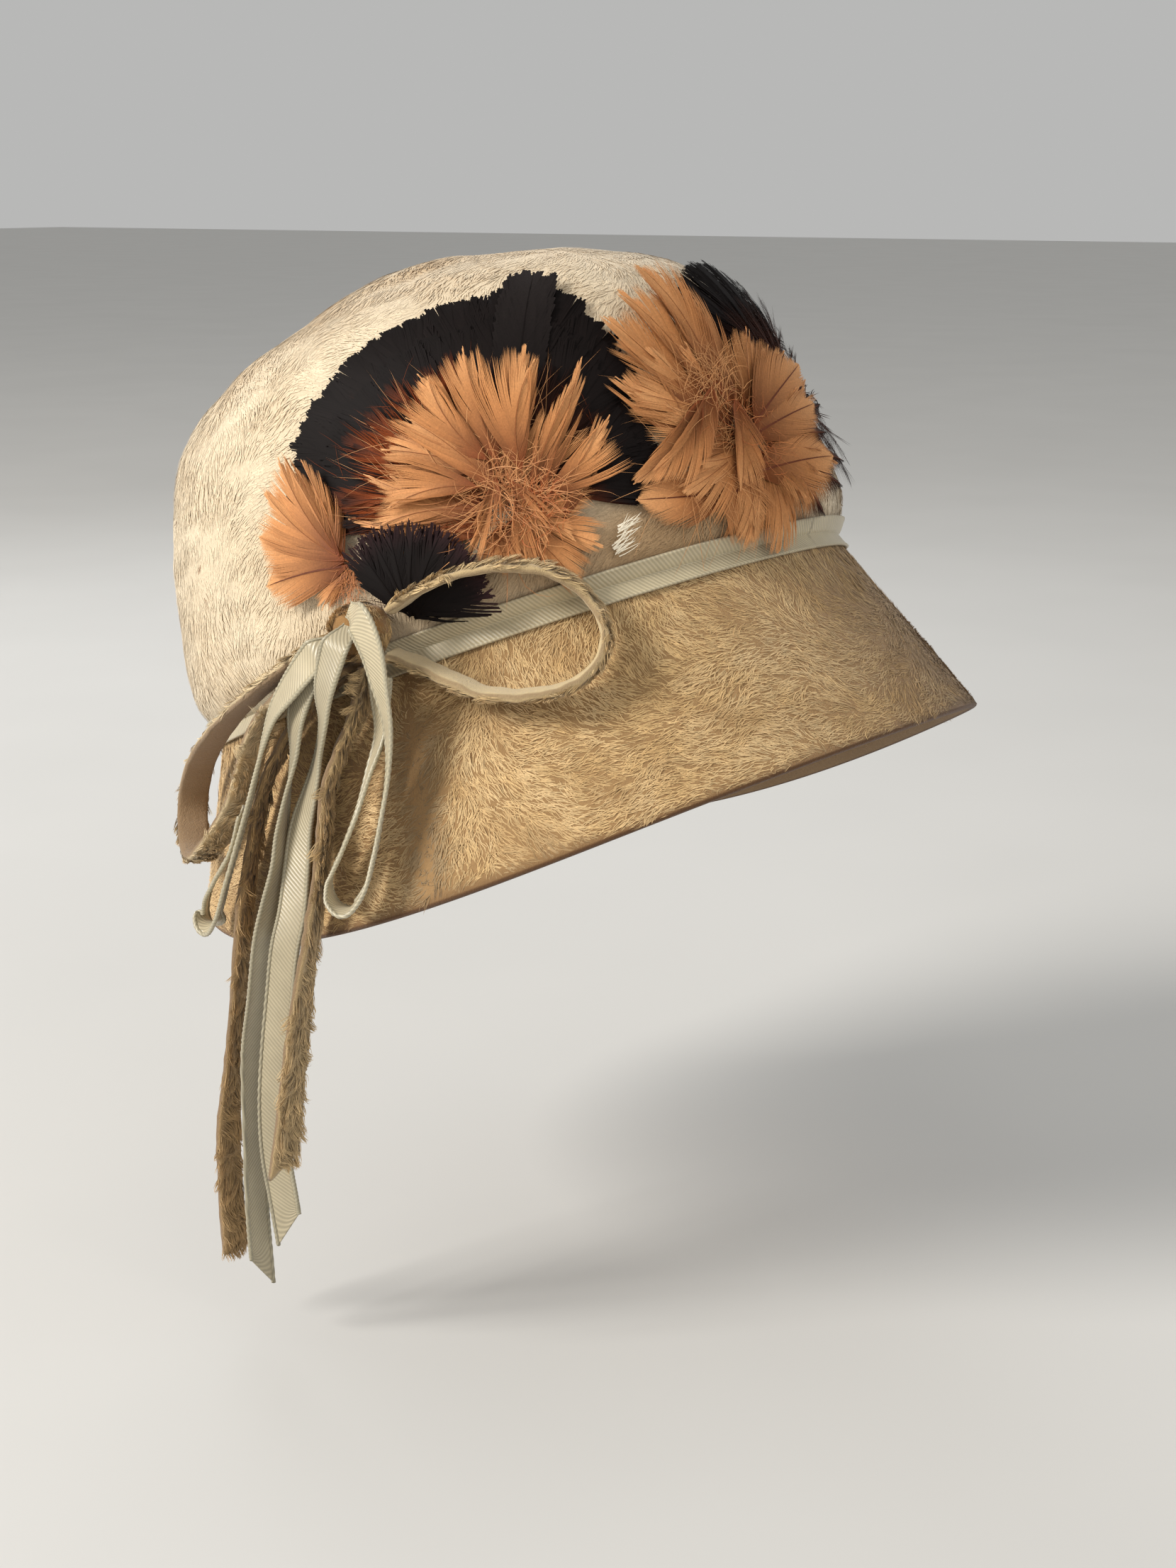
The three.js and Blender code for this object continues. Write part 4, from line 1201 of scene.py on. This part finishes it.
def make_curled_tan():
    rosette = Rosette(82, 28, 103)
    single_feathers(rosette, VANE, [
        (2, 0, -80, 27, 24, 1.2, 3.5, -14, 0.5, 0.1),
        (2, 1, -62, 29, 20, 2.0, 3.5, 10, 0.5, 0.1),
    ])
    single_feathers(rosette, PETAL, [
        (2, 1, -44, 31, 14, 2.6, 4.0, 26, 1.0, 0.12),
        (1, 2, -26, 33, 12, 3.0, 4.5, 30, 2.0, 0.12),
        (1, -1, -118, 13, 10, 1.0, 2.0, -20, 0.0, 0.05),
    ])
    fan(rosette, FLAME, (-12, 8), 3, 0, 33, 10, (1.2, 6.0), 14, 3.0, cup=0.1)
    rosette.wisps(140, (1, -1), (2, 2), (120, 240), (3, 9), (1.0, 4.0), (TAN_BASE, TAN), 0.9, 0.09)
    build("curled_tan_feathers", rosette.batch, tan_feather, ["feathers_curled_tan"])


def make_low_dark():
    rosette = Rosette(73.5, 9.5, 104)
    # The barb tips are painted a purplish grey: painted sheen.
    ramp = ([0, 0.72, 1], np.array([BLACK_BROWN, BLACK_BROWN, DUSK_SHEEN * 0.45]))
    kind = dict(DARK_CUT, ramp=ramp, bunch=4, spread=0.14, notch=3.0)
    fan(rosette, kind, (-26, 86), 15, 1, 23, 9, (4.0, 3.2), 10, cup=0.08)
    colours = (BLACK_BROWN, RUST_DARK)
    rosette.wisps(150, (1, 2), (3, 2), (-60, 90), (8, 20), (1.2, 4.0), colours, 0.5, 0.08)
    build("low_dark_feathers", rosette.batch, dark_feather, ["feathers_low_dark"])


def make_front_tan():
    rosette = Rosette(12, 30, 105)
    fan(rosette, PETAL, (-60, -6), 7, 5, 48, 15, (1.2, 4.5), 24, 1.0, 7, cup=0.14)
    fan(rosette, PETAL, (2, 62), 7, 5, 32, 14, (1.2, 6.0), 26, 1.5, 9, cup=0.14)
    fan(rosette, SPOTTED, (70, 150), 6, 6, 30, 15, (1.2, 6.0), 12, 0.5, wander=3)
    fan(rosette, PETAL, (80, 170), 8, 5, 26, 14, (1.8, 6.0), 28, 0.5, 9, cup=0.12)
    fan(rosette, PETAL, (-176, -70), 11, 2, 32, 15, (1.4, 4.0), 24, 0.5, 8, cup=0.12)
    single_feathers(rosette, VANE, [
        (-2, 1, 58, 32, 22, 5.5, 4.0, 12, 0.0, 0.05),
        (-5, -2, 76, 30, 20, 5.0, 4.0, 8, 0.0, 0.05),
        (-8, -11, 88, 30, 20, 4.0, 5.0, 6, 0.0, 0.05),
        (-18, -4, 156, 24, 22, 4.0, 0.0, 8, 0.0, 0.08),
        (-13, -14, -84, 27, 15, 4.0, -1.0, 10, 0.0, 0.05),
    ])
    single_feathers(rosette, PETAL, [
        (-6, 10, 0, 42, 11, 5.0, 2.5, -14, 0.0, 0.15),
        (-9, 9, -10, 38, 10, 5.0, 1.5, -18, 0.0, 0.15),
        (-13, 4, -16, 39, 12, 4.5, 0.5, -12, 0.0, 0.15),
        (-20, -2, -20, 28, 12, 4.0, 0.0, -10, 0.0, 0.15),
        (-8, 15, -140, 34, 9, 7.0, -2.5, 34, 0.0, 0.15),
        (-13, 12, -134, 32, 9, 6.5, -2.5, 30, 0.0, 0.15),
        (-4, 10, -168, 26, 9, 7.0, -2.0, 24, 0.0, 0.15),
    ])
    rosette.wisps(260, (2, 0), (5, 5), (-180, 180), (5, 12), (4.0, 9.0), (EMBER_LIGHT, TAN), 1.2, 0.09)
    rosette.wisps(140, (-6, 14), (4, 3), (-120, 60), (6, 14), (6.0, 9.0), (TAN, TAN_TIP), 1.4, 0.09)
    rosette.wisps(120, (-16, -4), (6, 6), (-180, 180), (10, 24), (4.0, 7.0), (TAN, TAN_TIP), 0.7, 0.08)
    build("front_tan_feathers", rosette.batch, tan_feather, ["feathers_front_tan"])


def make_front_dark():
    rosette = Rosette(-8, 40, 106)
    fan(rosette, DARK_CUT, (-38, 44), 9, 3, 46, 15, (0.8, 3.4), 8)
    fan(rosette, DARK_DEEP, (70, 156), 6, 3, 31, 12, (0.8, 3.4), 8)
    fan(rosette, DARK_DEEP, (-30, 60), 7, 3, 34, 12, (1.4, 4.0), 8)
    build("front_dark_feathers", rosette.batch, dark_feather, ["feathers_front_dark"])


make_crown()
make_crown_nap()
make_brim()
for layer in BRIM_FUR:
    add_brim_fur(*layer)
make_band()
make_knot()
for strip in FELT_STRIPS:
    make_felt_strip(*strip)
for ribbon in RIBBON_PAINTED_SHADE:
    make_ribbon(ribbon)
make_side_dark()
make_side_tan()
make_curled_tan()
make_low_dark()
make_front_dark()
make_front_tan()


# The floor, the light and the camera at the photograph's angle, in metres. The columns of the
# lights: name, place, size, power and colour.
LIGHTS = [
    ("key", (-2.2, 1.36, 1.58), 1.2, 102, (1.0, 0.965, 0.915)),
    ("front", (-0.7, -1.1, 0.5), 0.9, 4.5, (1.0, 0.98, 0.95)),
    ("back", (0.8, 0.9, 0.8), 0.8, 4, (0.95, 0.97, 1.0)),
]
BACKDROP_COLOUR = (0.8, 0.8, 0.79, 1)
BACKDROP_STRENGTH = 0.6
FLOOR_HEIGHT = -0.185
FLOOR_REACH = 12.0
FLOOR_COLOUR = light(206, 205, 202)
CAMERA_PLACE = (-0.5853, -0.3929, 0.1352)
CAMERA_TURN = (math.radians(75.64), 0, math.radians(-57.71))
CAMERA_LENS = 54.11


def make_floor():
    reach = FLOOR_REACH
    corners = [(-reach, -reach), (reach, -reach), (reach, reach), (-reach, reach)]
    mesh = bpy.data.meshes.new("floor")
    mesh.from_pydata([(x, y, FLOOR_HEIGHT) for x, y in corners], [], [(0, 1, 2, 3)])
    mesh.materials.append(plain_material("floor_pale", tuple(FLOOR_COLOUR), 0.9))
    floor = bpy.data.objects.new("floor", mesh)
    bpy.context.scene.collection.objects.link(floor)


def add_light(name, spot, size, power, colour):
    lamp = bpy.data.lights.new(name, "AREA")
    lamp.shape = "DISK"
    lamp.size = size
    lamp.energy = power
    lamp.color = colour
    holder = bpy.data.objects.new(name, lamp)
    holder.location = spot
    aim = Vector((0, 0, 0)) - Vector(spot)
    holder.rotation_euler = aim.to_track_quat("-Z", "Y").to_euler()
    bpy.context.scene.collection.objects.link(holder)


def make_light():
    for lamp in LIGHTS:
        add_light(*lamp)
    bpy.context.scene.view_settings.view_transform = "Standard"
    world = bpy.data.worlds.new("studio")
    world.use_nodes = True
    backdrop = world.node_tree.nodes["Background"]
    backdrop.inputs["Color"].default_value = BACKDROP_COLOUR
    backdrop.inputs["Strength"].default_value = BACKDROP_STRENGTH
    bpy.context.scene.world = world


def make_camera():
    lens = bpy.data.cameras.new("view")
    lens.lens = CAMERA_LENS
    lens.sensor_width = 36
    lens.clip_start = 0.01
    holder = bpy.data.objects.new("view", lens)
    holder.location = CAMERA_PLACE
    holder.rotation_euler = CAMERA_TURN
    bpy.context.scene.collection.objects.link(holder)
    bpy.context.scene.camera = holder


make_floor()
make_light()
make_camera()
